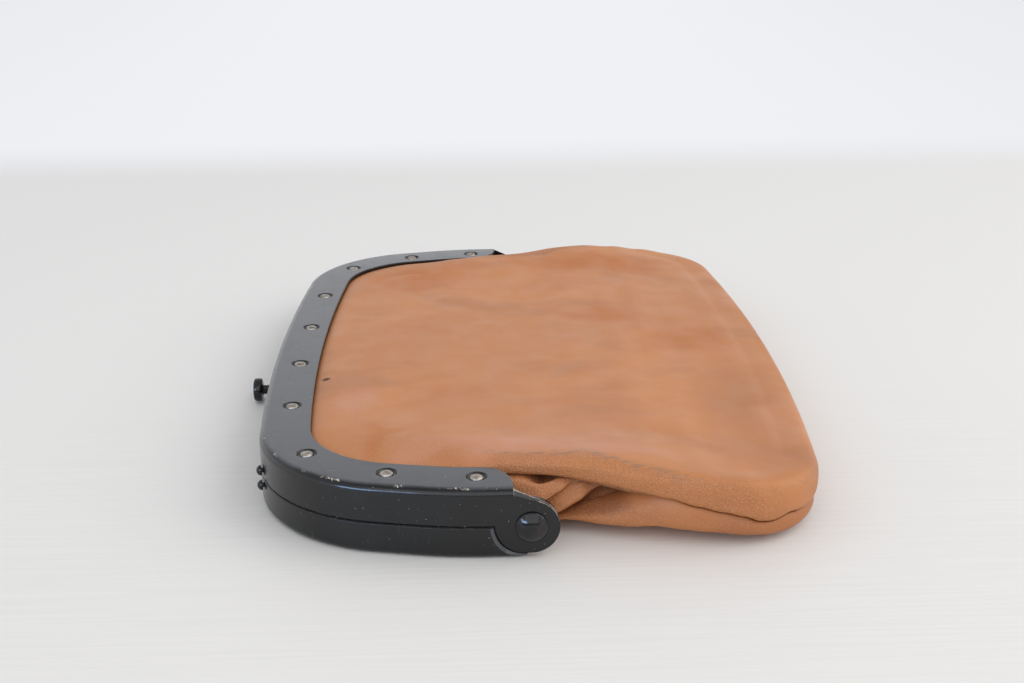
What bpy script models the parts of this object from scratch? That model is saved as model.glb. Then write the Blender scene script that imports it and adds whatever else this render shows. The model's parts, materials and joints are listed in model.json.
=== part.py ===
"""Leather money pouch with a riveted steel clasp frame, lying closed on its back panel.

X runs along the pouch from the mouth (-X) to the bag's bottom (+X), Y across it, Z up.
The near side is -Y, where the latch and catch strips are riveted. The origin lies under
the middle of the bounding box, on the surface that the pouch rests on.
"""
import math
from collections import namedtuple

import bmesh
import bpy
from mathutils import Matrix, Vector

MM = 0.001

# Sheet, clearances and overruns
SHEET = 0.8 * MM
FIT_GAP = 0.3 * MM
RUNNING_GAP = 0.25 * MM
RIVET_SEAT_GAP = 0.1 * MM
MATING_GAP = 0.3 * MM
CUT_OVERRUN = 0.6 * MM
JOIN_OVERLAP = 0.05 * MM

# Frame outline in plan, measured along its outer face
EAR_HALF_WIDTH = 68.5 * MM
EAR_STRAIGHT_RUN = 6.4 * MM
BEND_RADIUS = 55.0 * MM
SPLAY_ANGLE = math.radians(11.7)
ARM_STRAIGHT_RUN = 6.8 * MM
CORNER_RADIUS = 25.7 * MM
MOUTH_BOW_ANGLE = math.radians(4.65)

# Frame section
UPPER_HALF_HEIGHT = 6.2 * MM
LOWER_HALF_HEIGHT = 5.3 * MM
FLANGE_WIDTH = 8.6 * MM
OUTER_FILLET = 0.9 * MM
INNER_FILLET = 0.3 * MM
FLANGE_END_RUN = 2.7 * MM
FLANGE_END_ROUNDING = 4.6 * MM
TAIL_END_RUN = 1.4 * MM

# Hinge
EAR_RADIUS = 4.4 * MM
EAR_SHIFT = 1.1 * MM
EAR_SHOULDER_DROP = 0.35 * MM
RECESS_GAP = 0.35 * MM
RECESS_BEVEL = 0.6 * MM
HINGE_SHANK_RADIUS = 1.0 * MM
HINGE_HEAD_RADIUS = 2.5 * MM
HINGE_HEAD_RISE = 1.05 * MM
HINGE_RIM_HEIGHT = 0.3 * MM
HINGE_TAIL_RADIUS = 1.7 * MM
HINGE_TAIL_HEIGHT = 0.6 * MM

# Flange rivets, leather edge and backing strips
RIVET_INSET = 5.1 * MM
RIVET_HEAD_RADIUS = 1.05 * MM
RIVET_SHANK_RADIUS = 0.45 * MM
RIVET_HOLE_CLEARANCE = 0.2 * MM
RIVET_TAIL_RADIUS = 0.95 * MM
RIVET_TAIL_HEIGHT = 0.5 * MM
DIMPLE_RADIUS = 1.55 * MM
DIMPLE_FLOOR_RADIUS = 1.2 * MM
DIMPLE_DEPTH = 0.5 * MM
RIVET_CROWN_DROP = 0.03 * MM
FIRST_RIVET_RUN = 8.5 * MM
ARM_RIVET_PITCH = 15.1 * MM
ARM_RIVET_COUNT = 2
CORNER_RIVET_SHARE = 0.57
MOUTH_RIVET_PITCH = 21.6 * MM
MOUTH_RIVET_COUNT = 2
STRIP_THICKNESS = 0.6 * MM
STRIP_INNER_INSET = 7.6 * MM
STRIP_END_RUN = 6.6 * MM
LEATHER = 0.9 * MM
LEATHER_EDGE_INSET = 4.0 * MM

# Clasp: a knob riveted to a latch strip in the lower half, and a catch strip in the upper one
KNOB_REACH = 5.6 * MM
KNOB_RADIUS = 2.3 * MM
KNOB_THICKNESS = 1.7 * MM
KNOB_EDGE_ROUNDING = 0.4 * MM
KNOB_HEIGHT = 2.5 * MM
KNOB_STEM_RADIUS = 0.9 * MM
KNOB_STEM_CLEARANCE = 0.35 * MM
KNOB_NECK_RADIUS = 0.55 * MM
KNOB_TAIL_RADIUS = 0.9 * MM
KNOB_TAIL_HEIGHT = 0.3 * MM
SPRING_SHEET = 0.35 * MM
SPRING_WALL_GAP = 0.2 * MM
SPRING_SEAT_GAP = 0.1 * MM
LATCH_STANDOFF = 1.1 * MM
STRIP_BAND_HEIGHT = 2.05 * MM
STRIP_MATING_GAP = 0.15 * MM
ANCHOR_PAST_CORNER = 5.3 * MM
ANCHOR_MARGIN = 1.7 * MM
HOOK_START = 3.2 * MM
HOOK_WIDTH = 5.0 * MM
HOOK_DROP = 2.3 * MM
HOOK_NOSE = 0.25 * MM
HOOK_NOSE_HEIGHT = 0.5 * MM
LATCH_LIP = 0.3 * MM
LATCH_TAB_WIDTH = 4.4 * MM
LATCH_TAB_CLEARANCE = 0.4 * MM
STUD_FROM_MATING = 1.33 * MM
STUD_HEAD_RADIUS = 0.9 * MM
STUD_HEAD_RISE = 0.8 * MM
STUD_SHANK_RADIUS = 0.4 * MM
STUD_TAIL_RADIUS = 0.75 * MM
STUD_TAIL_HEIGHT = 0.3 * MM

# Bag
HINGE_TO_BAG_END = 50.1 * MM
BAG_SIDE_INSET = 1.1 * MM
BAG_WAIST_INSET = 8.4 * MM
BAG_CORNER_RADIUS = 17.0 * MM
BAG_END_BOW_ANGLE = math.radians(6.0)
BAG_JOIN_RUN = 3.0 * MM
LEATHER_LEAVE_RUN = 7.0 * MM
WALL_START_RUN = -5.0 * MM
WALL_FULL_RUN = 18.0 * MM
ROLL_RADIUS = 3.2 * MM
SEAM_HEIGHT_AT_HINGE = 9.3 * MM
SEAM_HEIGHT_AT_END = 5.2 * MM
SEAM_FALL_RUN = 30.0 * MM
SEAM_GAP = 0.5 * MM
FRONT_CROWN_DROP = 0.2 * MM
THROAT_RUN = 3.5 * MM
GUSSET_START_RUN = -2.0 * MM
GUSSET_END_RUN = 14.0 * MM
GUSSET_LAP = 1.0 * MM
GUSSET_DEPTH_AT_HINGE = 9.0 * MM
GUSSET_DEPTH_AT_END = 3.0 * MM

# Rows of a panel from its edge inwards, as shares of the roll's radius, the wall's height and the clamped band
ROLL_INSET_SHARES = (0.12, 0.0, 0.12, 0.45, 1.0, 2.4)
ROLL_RISE_SHARES = (0.0, 0.3, 0.62, 0.86, 0.97, 1.0)
BAND_INSET_SHARES = (0.0, 0.25, 0.5, 0.75, 1.0)
DOME_RADIUS_SHARES = (1.0, 0.84, 0.46)
DOME_RISE_SHARES = (0.0, 0.6, 0.93)
PANEL_RING_SHARES = (0.5,)
MITRE_LIMIT_SHARE = 0.7

# Steps and shading of round stretches
SHARP_ANGLE = math.radians(35.0)
FILLET_STEPS = 4
CORNER_STEPS = 12
BOW_STEPS = 5
BEND_STEPS = 3
EAR_STEPS = 24
RIVET_SIDES = 12
HINGE_SIDES = 24
BAG_JOIN_STEPS = 4
BAG_SIDE_STEPS = 7
BAG_CORNER_STEPS = 9
BAG_BOW_STEPS = 4
GUSSET_STEPS = 5

# Derived heights
TOTAL_HEIGHT = LOWER_HALF_HEIGHT + MATING_GAP + UPPER_HALF_HEIGHT
AXIS_HEIGHT = LOWER_HALF_HEIGHT + MATING_GAP / 2
CLAMP_DEPTH = SHEET + FIT_GAP
STRIP_DEPTH = CLAMP_DEPTH + LEATHER + FIT_GAP
TAIL_DEPTH = STRIP_DEPTH + STRIP_THICKNESS + FIT_GAP
INNER_EAR_INSET = SHEET + FIT_GAP
SPRING_INSET = SHEET + SPRING_WALL_GAP
HOLE_RADIUS = RIVET_SHANK_RADIUS + RIVET_HOLE_CLEARANCE
UPPER_WALL_FOOT = AXIS_HEIGHT + MATING_GAP / 2

Station = namedtuple("Station", "x y nx ny")


def rail_stretches():
    """Stretches of half the outline from the hinge axis to the mouth's middle, as (length, turn)."""
    corner_turn = math.pi / 2 - SPLAY_ANGLE - MOUTH_BOW_ANGLE
    fallen = BEND_RADIUS * (1 - math.cos(SPLAY_ANGLE)) + ARM_STRAIGHT_RUN * math.sin(SPLAY_ANGLE)
    fallen += CORNER_RADIUS * (math.cos(SPLAY_ANGLE) - math.sin(MOUTH_BOW_ANGLE))
    bow_radius = (EAR_HALF_WIDTH - fallen) / math.sin(MOUTH_BOW_ANGLE)
    return (
        (EAR_STRAIGHT_RUN, 0.0),
        (BEND_RADIUS * SPLAY_ANGLE, SPLAY_ANGLE),
        (ARM_STRAIGHT_RUN, 0.0),
        (CORNER_RADIUS * corner_turn, corner_turn),
        (bow_radius * MOUTH_BOW_ANGLE, MOUTH_BOW_ANGLE),
    )


STRETCHES = rail_stretches()
MIDDLE_RUN = sum(length for length, _turn in STRETCHES)
ANCHOR_FROM_MIDDLE = STRETCHES[-1][0] + ANCHOR_PAST_CORNER


def rail_point(run):
    """Point and heading of the far half's outer face at a run from the hinge axis, which is at x = 0."""
    x, y, heading = 0.0, EAR_HALF_WIDTH, math.pi
    if run <= 0:
        return -run, y, heading
    for length, turn in STRETCHES:
        part = min(run, length)
        if turn:
            radius = length / turn
            after = heading + part / radius
            x += radius * (math.sin(after) - math.sin(heading))
            y -= radius * (math.cos(after) - math.cos(heading))
            heading = after
        else:
            x += part * math.cos(heading)
            y += part * math.sin(heading)
        run -= part
        if run <= 0:
            break
    return x, y, heading


MOUTH_DEPTH = -rail_point(MIDDLE_RUN)[0]
LENGTH = KNOB_REACH + MOUTH_DEPTH + HINGE_TO_BAG_END
HINGE_X = LENGTH / 2 - HINGE_TO_BAG_END
BAG_HALF_WIDTH = EAR_HALF_WIDTH - BAG_SIDE_INSET
BAG_JOIN_X = HINGE_X + BAG_JOIN_RUN
BAG_CORNER_TURN = math.pi / 2 - BAG_END_BOW_ANGLE
BAG_BOW_HALF_WIDTH = BAG_HALF_WIDTH - BAG_CORNER_RADIUS * (1 - math.cos(BAG_CORNER_TURN))
BAG_BOW_RADIUS = BAG_BOW_HALF_WIDTH / math.sin(BAG_END_BOW_ANGLE)
BAG_BOW_DEPTH = BAG_BOW_RADIUS * (1 - math.cos(BAG_END_BOW_ANGLE))
BAG_WIDEST_X = LENGTH / 2 - BAG_BOW_DEPTH - BAG_CORNER_RADIUS * math.sin(BAG_CORNER_TURN)


def station(along):
    """Station on the outer face, at a signed length from the mouth's middle: near side below zero."""
    side = -1 if along < 0 else 1
    x, y, heading = rail_point(MIDDLE_RUN - abs(along))
    return Station(HINGE_X + x, side * y, -math.sin(heading), side * math.cos(heading))


def inset_point(place, inset, z):
    return Vector((place.x + inset * place.nx, place.y + inset * place.ny, z))


def spread(start, end, steps):
    """Values from start to end, in equal steps."""
    return [start + (end - start) * k / steps for k in range(steps + 1)]


def smooth_step(value):
    value = min(max(value, 0.0), 1.0)
    return value * value * (3 - 2 * value)


def arc(cx, cz, radius, start, end, steps):
    """Points of an arc in a plane, with angles in degrees."""
    angles = [math.radians(a) for a in spread(start, end, steps)]
    return [(cx + radius * math.cos(a), cz + radius * math.sin(a)) for a in angles]


def rail_runs(end_run):
    """Runs of the stations between an end run and the mouth's middle, closer on the curves."""
    steps = (1, BEND_STEPS, 1, CORNER_STEPS, BOW_STEPS)
    runs, begun = [], 0.0
    for (length, _turn), count in zip(STRETCHES, steps):
        runs += [begun + length * k / count for k in range(1, count + 1)]
        begun += length
    return [end_run] + [run for run in runs if run > end_run + JOIN_OVERLAP]


def along_both(runs):
    """Signed lengths from the near end, round the mouth, to the far end."""
    far = [MIDDLE_RUN - run for run in runs if run < MIDDLE_RUN - JOIN_OVERLAP]
    return [-a for a in far] + [0.0] + far[::-1]


def material(name, color, roughness, metallic):
    made = bpy.data.materials.new(name)
    made.use_nodes = True
    shader = made.node_tree.nodes["Principled BSDF"]
    shader.inputs["Base Color"].default_value = (*color, 1.0)
    shader.inputs["Roughness"].default_value = roughness
    shader.inputs["Metallic"].default_value = metallic
    return made


def finish(name, mesh_data, surface):
    """Object from a bmesh, with its faces turned out and its round faces shaded smooth."""
    bmesh.ops.recalc_face_normals(mesh_data, faces=mesh_data.faces)
    mesh = bpy.data.meshes.new(name)
    mesh_data.to_mesh(mesh)
    mesh_data.free()
    mesh.shade_smooth()
    mesh.set_sharp_from_angle(angle=SHARP_ANGLE)
    made = bpy.data.objects.new(name, mesh)
    bpy.context.scene.collection.objects.link(made)
    if surface:
        made.data.materials.append(surface)
    return made


def add_loft(mesh_data, rings):
    """Closed body through rings of equal length, capped at both ends."""
    loops = [[mesh_data.verts.new(point) for point in ring] for ring in rings]
    for first, second in zip(loops, loops[1:]):
        for k in range(len(first)):
            after = (k + 1) % len(first)
            mesh_data.faces.new((first[k], first[after], second[after], second[k]))
    mesh_data.faces.new(loops[0])
    mesh_data.faces.new(loops[-1])


def add_turned(mesh_data, profile, place, sides):
    """Body turned about place's Z axis from a profile of (radius, height) that starts and ends on the axis."""
    bottom = mesh_data.verts.new(place @ Vector((0, 0, profile[0][1])))
    top = mesh_data.verts.new(place @ Vector((0, 0, profile[-1][1])))
    loops = []
    for radius, height in profile[1:-1]:
        angles = [2 * math.pi * k / sides for k in range(sides)]
        ring = [place @ Vector((radius * math.cos(a), radius * math.sin(a), height)) for a in angles]
        loops.append([mesh_data.verts.new(point) for point in ring])
    for k in range(sides):
        after = (k + 1) % sides
        mesh_data.faces.new((bottom, loops[0][after], loops[0][k]))
        mesh_data.faces.new((top, loops[-1][k], loops[-1][after]))
        for first, second in zip(loops, loops[1:]):
            mesh_data.faces.new((first[k], first[after], second[after], second[k]))


def lofted(name, rings, surface=None):
    mesh_data = bmesh.new()
    add_loft(mesh_data, rings)
    return finish(name, mesh_data, surface)


def turned_cutters(name, profile, places, sides):
    """One cutter that holds the same turned body at each place."""
    mesh_data = bmesh.new()
    for place in places:
        add_turned(mesh_data, profile, place, sides)
    return finish(name, mesh_data, None)


def turned_piece(name, profile, place, sides, surface):
    """Turned piece, modelled about its own Z axis and set at its place."""
    mesh_data = bmesh.new()
    add_turned(mesh_data, profile, Matrix.Identity(4), sides)
    made = finish(name, mesh_data, surface)
    made.matrix_world = place
    return made


def pivot(name, point, children):
    """Empty on a joint's axis that carries the pieces which move about it."""
    empty = bpy.data.objects.new(name, None)
    empty.location = point
    bpy.context.scene.collection.objects.link(empty)
    for child in children:
        child.parent = empty
        child.matrix_parent_inverse = Matrix.Translation(point).inverted()


def plates(name, outline, inner, outer, surface=None):
    """Pair of plates across Y, near and far, from an outline in X and Z about the hinge axis."""
    mesh_data = bmesh.new()
    for side in (-1, 1):
        rings = []
        for y in (inner, outer):
            rings.append([Vector((HINGE_X + dx, side * y, AXIS_HEIGHT + dz)) for dx, dz in outline])
        add_loft(mesh_data, rings)
    return finish(name, mesh_data, surface)


def combine(base, tool, operation):
    """Boolean on base with a hidden tool object."""
    tool.hide_render = True
    tool.display_type = "WIRE"
    tool.hide_set(True)
    modifier = base.modifiers.new(operation.title() + " " + tool.name, "BOOLEAN")
    modifier.operation = operation
    modifier.solver = "EXACT"
    modifier.object = tool
    return base


def wall_frame(along, height):
    """Matrix with its origin on the outer face and its Z axis pointing out of the wall."""
    place = station(along)
    out = Vector((-place.nx, -place.ny, 0))
    across = Vector((0, 0, 1)).cross(out)
    turn = Matrix((across, Vector((0, 0, 1)), out)).transposed().to_4x4()
    return Matrix.Translation(Vector((place.x, place.y, height))) @ turn


def rivet_alongs():
    """Signed places of the flange rivets along the outline."""
    corner_begins = sum(length for length, _turn in STRETCHES[:3])
    runs = [FIRST_RIVET_RUN + ARM_RIVET_PITCH * k for k in range(ARM_RIVET_COUNT)]
    runs.append(corner_begins + STRETCHES[3][0] * CORNER_RIVET_SHARE)
    far = [MIDDLE_RUN - run for run in runs]
    far += [MOUTH_RIVET_PITCH * (k + 1) - MOUTH_RIVET_PITCH / 2 for k in range(MOUTH_RIVET_COUNT)]
    return sorted([-a for a in far] + far)


def rivet_places(upper):
    """Frames on the flange's outer face, with Z pointing out of it."""
    places = []
    for along in rivet_alongs():
        point = inset_point(station(along), RIVET_INSET, TOTAL_HEIGHT if upper else 0.0)
        turn = Matrix.Diagonal((1, 1, 1, 1) if upper else (1, -1, -1, 1))
        places.append(Matrix.Translation(point) @ turn)
    return places


def outward(upper, depth):
    """Height of a depth below the half's outer flange face."""
    return TOTAL_HEIGHT - depth if upper else depth


def flange_width(run):
    """Width of the flange, which is rounded off at its end near the hinge."""
    narrow = SHEET + INNER_FILLET * 2 + OUTER_FILLET / 2
    left = (FLANGE_END_RUN + FLANGE_END_ROUNDING - run) / FLANGE_END_ROUNDING
    left = min(max(left, 0.0), 1.0)
    return narrow + (FLANGE_WIDTH - narrow) * math.sqrt(1 - left * left)


def half_section(upper, run):
    """L section of a pressed half as (inset, height), outer fillet first."""
    foot = (UPPER_HALF_HEIGHT if upper else LOWER_HALF_HEIGHT)
    width = flange_width(run)
    outer = arc(OUTER_FILLET, OUTER_FILLET, OUTER_FILLET, 180, 270, FILLET_STEPS)
    inner_centre = SHEET + INNER_FILLET
    inner = arc(inner_centre, inner_centre, INNER_FILLET, 270, 180, FILLET_STEPS // 2)
    points = [(0.0, foot)] + outer + [(width, 0.0), (width, SHEET)] + inner + [(SHEET, foot)]
    return [(inset, outward(upper, depth)) for inset, depth in points]


def pressed_half(name, upper, end_run, surface):
    """Sheet-metal half: wall, fillet and flange, swept round the outline."""
    rounded = [FLANGE_END_RUN + FLANGE_END_ROUNDING * share for share in (0.0, 0.05, 0.15, 0.32, 0.58, 1.0)]
    runs = sorted({end_run, *rounded, *[r for r in rail_runs(end_run) if r > rounded[-1] + SHEET]})
    runs = [run for run in runs if run >= end_run]
    rings = []
    for along in along_both(runs):
        place = station(along)
        section = half_section(upper, MIDDLE_RUN - abs(along))
        rings.append([inset_point(place, inset, z) for inset, z in section])
    return lofted(name, rings, surface)


def ear_outline():
    """Upper half's ear: round at the end, with a shoulder that slopes up to the flange's end."""
    shoulder = UPPER_HALF_HEIGHT + MATING_GAP / 2 - EAR_SHOULDER_DROP
    reach = math.hypot(FLANGE_END_RUN, shoulder)
    touch = math.degrees(math.atan2(shoulder, -FLANGE_END_RUN) - math.acos(EAR_RADIUS / reach))
    left = -EAR_SHIFT - EAR_RADIUS
    inside_wall = UPPER_HALF_HEIGHT + MATING_GAP / 2 - OUTER_FILLET - INNER_FILLET
    points = [(left, MATING_GAP / 2 + JOIN_OVERLAP)]
    points += arc(-EAR_SHIFT, 0.0, EAR_RADIUS, 180, 270, EAR_STEPS // 4)
    points += arc(0.0, 0.0, EAR_RADIUS, 270, 360 + touch, EAR_STEPS // 2)
    join = -FLANGE_END_RUN - JOIN_OVERLAP
    points += [(join, shoulder), (join, inside_wall), (left, inside_wall)]
    return points


def lower_ear_outline():
    """Lower half's inner ear: a disc above the joggled plate that runs down to the flange."""
    left = -EAR_SHIFT - EAR_RADIUS - RECESS_GAP - RECESS_BEVEL - SHEET
    foot = -AXIS_HEIGHT + SHEET / 3
    top = -MATING_GAP / 2
    radius = EAR_RADIUS - JOIN_OVERLAP * 2
    closing = math.degrees(math.asin(top / radius))
    points = [(left, top), (left, foot), (-TAIL_END_RUN - JOIN_OVERLAP, foot)]
    points += arc(0.0, 0.0, radius, 262, 540 - closing, EAR_STEPS)
    return points


def joggle_outline():
    """Step between the lower half's wall and its inner ear, before the recess is cut."""
    left = -EAR_SHIFT - EAR_RADIUS - RECESS_GAP - RECESS_BEVEL - SHEET / 2
    foot = -AXIS_HEIGHT + SHEET / 2
    right = -TAIL_END_RUN - JOIN_OVERLAP * 2
    top = -MATING_GAP / 2 - JOIN_OVERLAP
    return [(left, top), (left, foot), (right, foot), (right, top)]


def recess_cutters():
    """Bevelled recess that the upper ear turns in, cut into the lower half's wall on both sides."""
    mesh_data = bmesh.new()
    depth = INNER_EAR_INSET + JOIN_OVERLAP
    widening = RECESS_BEVEL / INNER_EAR_INSET
    for side in (-1, 1):
        rings = []
        for inset in (-CUT_OVERRUN, depth):
            radius = EAR_RADIUS + RECESS_GAP + widening * (INNER_EAR_INSET - inset)
            outline = arc(-EAR_SHIFT, 0.0, radius, 90, 270, EAR_STEPS)
            outline += arc(0.0, 0.0, radius, 270, 450, EAR_STEPS // 2)
            y = side * (EAR_HALF_WIDTH - inset)
            rings.append([Vector((HINGE_X + dx, y, AXIS_HEIGHT + dz)) for dx, dz in outline])
        add_loft(mesh_data, rings)
    return finish("recess_cutters", mesh_data, None)


def hinge_frames():
    """Frames on the ears' outer faces, on the hinge axis, with Z pointing out."""
    places = []
    for side in (-1, 1):
        turn = Matrix.Rotation(-side * math.pi / 2, 4, "X")
        places.append(Matrix.Translation((HINGE_X, side * EAR_HALF_WIDTH, AXIS_HEIGHT)) @ turn)
    return places


def cylinder_profile(radius, low, high):
    return [(0.0, low), (radius, low), (radius, high), (0.0, high)]


def hinge_hole_cutters(name):
    depth = -2 * SHEET - FIT_GAP - CUT_OVERRUN
    profile = cylinder_profile(HINGE_SHANK_RADIUS + RUNNING_GAP, depth, CUT_OVERRUN)
    return turned_cutters(name, profile, hinge_frames(), HINGE_SIDES)


def dimple_cutters(upper):
    """Dimple and shank hole of each flange rivet."""
    widening = (DIMPLE_RADIUS - DIMPLE_FLOOR_RADIUS) * CUT_OVERRUN / DIMPLE_DEPTH
    profile = [
        (0.0, -SHEET - CUT_OVERRUN),
        (HOLE_RADIUS, -SHEET - CUT_OVERRUN),
        (HOLE_RADIUS, -DIMPLE_DEPTH),
        (DIMPLE_FLOOR_RADIUS, -DIMPLE_DEPTH),
        (DIMPLE_RADIUS + widening, CUT_OVERRUN),
        (0.0, CUT_OVERRUN),
    ]
    name = ("upper" if upper else "lower") + "_dimple_cutters"
    return turned_cutters(name, profile, rivet_places(upper), RIVET_SIDES)


def rivet_hole_cutters(name, upper):
    """Shank holes through the leather and the backing strip."""
    profile = cylinder_profile(HOLE_RADIUS, -TAIL_DEPTH, -SHEET)
    return turned_cutters(name, profile, rivet_places(upper), RIVET_SIDES)


def stud_height(upper):
    return AXIS_HEIGHT + STUD_FROM_MATING * (1 if upper else -1)


def stud_hole_cutters(name, upper):
    """Hole for the small stud through the wall and the spring strip behind it."""
    radius = STUD_SHANK_RADIUS + RUNNING_GAP
    profile = cylinder_profile(radius, -SPRING_INSET - SPRING_SHEET - CUT_OVERRUN, CUT_OVERRUN)
    return turned_cutters(name, profile, [wall_frame(-ANCHOR_FROM_MIDDLE, stud_height(upper))], RIVET_SIDES)


def upper_frame(surface):
    """Upper half with its outer ears."""
    half = pressed_half("upper_frame", True, FLANGE_END_RUN, surface)
    inner = EAR_HALF_WIDTH - SHEET
    combine(half, plates("upper_ear_plates", ear_outline(), inner, EAR_HALF_WIDTH), "UNION")
    combine(half, hinge_hole_cutters("upper_hinge_hole_cutters"), "DIFFERENCE")
    combine(half, dimple_cutters(True), "DIFFERENCE")
    combine(half, stud_hole_cutters("catch_stud_hole_cutter", True), "DIFFERENCE")
    return half


def lower_frame(surface):
    """Lower half, whose ears are joggled in behind the upper ones."""
    half = pressed_half("lower_frame", False, TAIL_END_RUN, surface)
    outer = EAR_HALF_WIDTH - INNER_EAR_INSET
    combine(half, plates("lower_ear_plates", lower_ear_outline(), outer - SHEET, outer), "UNION")
    step = plates("joggle_blocks", joggle_outline(), outer - SHEET / 2, EAR_HALF_WIDTH - SHEET / 2)
    combine(half, step, "UNION")
    combine(half, recess_cutters(), "DIFFERENCE")
    combine(half, hinge_hole_cutters("lower_hinge_hole_cutters"), "DIFFERENCE")
    combine(half, dimple_cutters(False), "DIFFERENCE")
    combine(half, stud_hole_cutters("latch_stud_hole_cutter", False), "DIFFERENCE")
    stem_hole = cylinder_profile(KNOB_STEM_RADIUS + KNOB_STEM_CLEARANCE, -SHEET - CUT_OVERRUN, CUT_OVERRUN)
    stem_cutter = turned_cutters("stem_hole_cutter", stem_hole, [wall_frame(0.0, KNOB_HEIGHT)], HINGE_SIDES)
    return combine(half, stem_cutter, "DIFFERENCE")


def backing_strip(name, upper, surface):
    """Flat strip that the rivets clamp the leather with."""
    rings = []
    for along in along_both(rail_runs(STRIP_END_RUN)):
        place = station(along)
        corners = (
            (LEATHER_EDGE_INSET, STRIP_DEPTH),
            (STRIP_INNER_INSET, STRIP_DEPTH),
            (STRIP_INNER_INSET, STRIP_DEPTH + STRIP_THICKNESS),
            (LEATHER_EDGE_INSET, STRIP_DEPTH + STRIP_THICKNESS),
        )
        rings.append([inset_point(place, inset, outward(upper, depth)) for inset, depth in corners])
    strip = lofted(name, rings, surface)
    return combine(strip, rivet_hole_cutters(name + "_hole_cutters", upper), "DIFFERENCE")


def flange_rivets(name, upper, surface):
    """Rivets on one mesh, each with a low dome in its dimple and a clinched tail behind the strip."""
    seat = -DIMPLE_DEPTH + RIVET_SEAT_GAP
    rise = -RIVET_CROWN_DROP - seat
    dome = [(RIVET_HEAD_RADIUS * r, seat + rise * h) for r, h in zip(DOME_RADIUS_SHARES, DOME_RISE_SHARES)]
    profile = [
        (0.0, -TAIL_DEPTH - RIVET_TAIL_HEIGHT),
        (RIVET_TAIL_RADIUS, -TAIL_DEPTH - RIVET_TAIL_HEIGHT),
        (RIVET_TAIL_RADIUS, -TAIL_DEPTH),
        (RIVET_SHANK_RADIUS, -TAIL_DEPTH),
        (RIVET_SHANK_RADIUS, seat),
        *dome,
        (0.0, -RIVET_CROWN_DROP),
    ]
    places = rivet_places(upper)
    rivets = [turned_piece(name + "_1", profile, places[0], RIVET_SIDES, surface)]
    for number, place in enumerate(places[1:], 2):
        copy = bpy.data.objects.new(f"{name}_{number}", rivets[0].data)
        bpy.context.scene.collection.objects.link(copy)
        copy.matrix_world = place
        rivets.append(copy)
    return rivets


def hinge_rivet(name, place, surface):
    """Hinge rivet: a dome on a flat rim outside, a clinched tail inside."""
    tail = -2 * SHEET - FIT_GAP - RUNNING_GAP
    rim = RUNNING_GAP + HINGE_RIM_HEIGHT
    dome_radius = HINGE_HEAD_RADIUS - HINGE_RIM_HEIGHT / 2
    rise = RUNNING_GAP + HINGE_HEAD_RISE - rim
    dome = [(dome_radius * r, rim + rise * h) for r, h in zip(DOME_RADIUS_SHARES, DOME_RISE_SHARES)]
    profile = [
        (0.0, tail - HINGE_TAIL_HEIGHT),
        (HINGE_TAIL_RADIUS, tail - HINGE_TAIL_HEIGHT),
        (HINGE_TAIL_RADIUS, tail),
        (HINGE_SHANK_RADIUS, tail),
        (HINGE_SHANK_RADIUS, RUNNING_GAP),
        (HINGE_HEAD_RADIUS, RUNNING_GAP),
        (HINGE_HEAD_RADIUS, rim),
        *dome,
        (0.0, rim + rise),
    ]
    return turned_piece(name, profile, place, HINGE_SIDES, surface)


def anchor_stud(name, upper, surface):
    """Small domed rivet that anchors a spring strip to the wall."""
    tail = -SPRING_INSET - SPRING_SHEET - SPRING_SEAT_GAP
    dome = [
        (STUD_HEAD_RADIUS * r, RUNNING_GAP + STUD_HEAD_RISE * h)
        for r, h in zip(DOME_RADIUS_SHARES, DOME_RISE_SHARES)
    ]
    profile = [
        (0.0, tail - STUD_TAIL_HEIGHT),
        (STUD_TAIL_RADIUS, tail - STUD_TAIL_HEIGHT),
        (STUD_TAIL_RADIUS, tail),
        (STUD_SHANK_RADIUS, tail),
        (STUD_SHANK_RADIUS, RUNNING_GAP),
        *dome,
        (0.0, RUNNING_GAP + STUD_HEAD_RISE),
    ]
    return turned_piece(name, profile, wall_frame(-ANCHOR_FROM_MIDDLE, stud_height(upper)), RIVET_SIDES, surface)


def strip_band(upper):
    """Lower and upper edge of a spring strip."""
    edge = MATING_GAP / 2 + STRIP_MATING_GAP
    if upper:
        return AXIS_HEIGHT + edge, AXIS_HEIGHT + edge + STRIP_BAND_HEIGHT
    return AXIS_HEIGHT - edge - STRIP_BAND_HEIGHT, AXIS_HEIGHT - edge


def latch_inset(along):
    """Inset of the latch strip, which leans away from the wall towards the knob."""
    return SPRING_INSET + LATCH_STANDOFF * smooth_step(1 - abs(min(along, 0.0)) / ANCHOR_FROM_MIDDLE)


def spring_strip(name, upper, inset_at, surface):
    """Thin strip along the inside of the wall, from the anchor past the mouth's middle."""
    low, high = strip_band(upper)
    runs = rail_runs(MIDDLE_RUN - ANCHOR_FROM_MIDDLE - ANCHOR_MARGIN)
    alongs = [run - MIDDLE_RUN for run in runs[:-1]] + [0.0, HOOK_START, HOOK_START + HOOK_WIDTH]
    rings = []
    for along in alongs:
        place, inset = station(along), inset_at(along)
        section = ((inset, low), (inset + SPRING_SHEET, low), (inset + SPRING_SHEET, high), (inset, high))
        rings.append([inset_point(place, i, z) for i, z in section])
    strip = lofted(name, rings, surface)
    return combine(strip, stud_hole_cutters(name + "_hole_cutter", upper), "DIFFERENCE")


def wall_block(name, begin, end, outline):
    """Block that follows the wall between two places, from an outline of (inset, height)."""
    rings = []
    for along in (begin, end):
        place = station(along)
        rings.append([inset_point(place, inset, z) for inset, z in outline])
    return lofted(name, rings)


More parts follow.
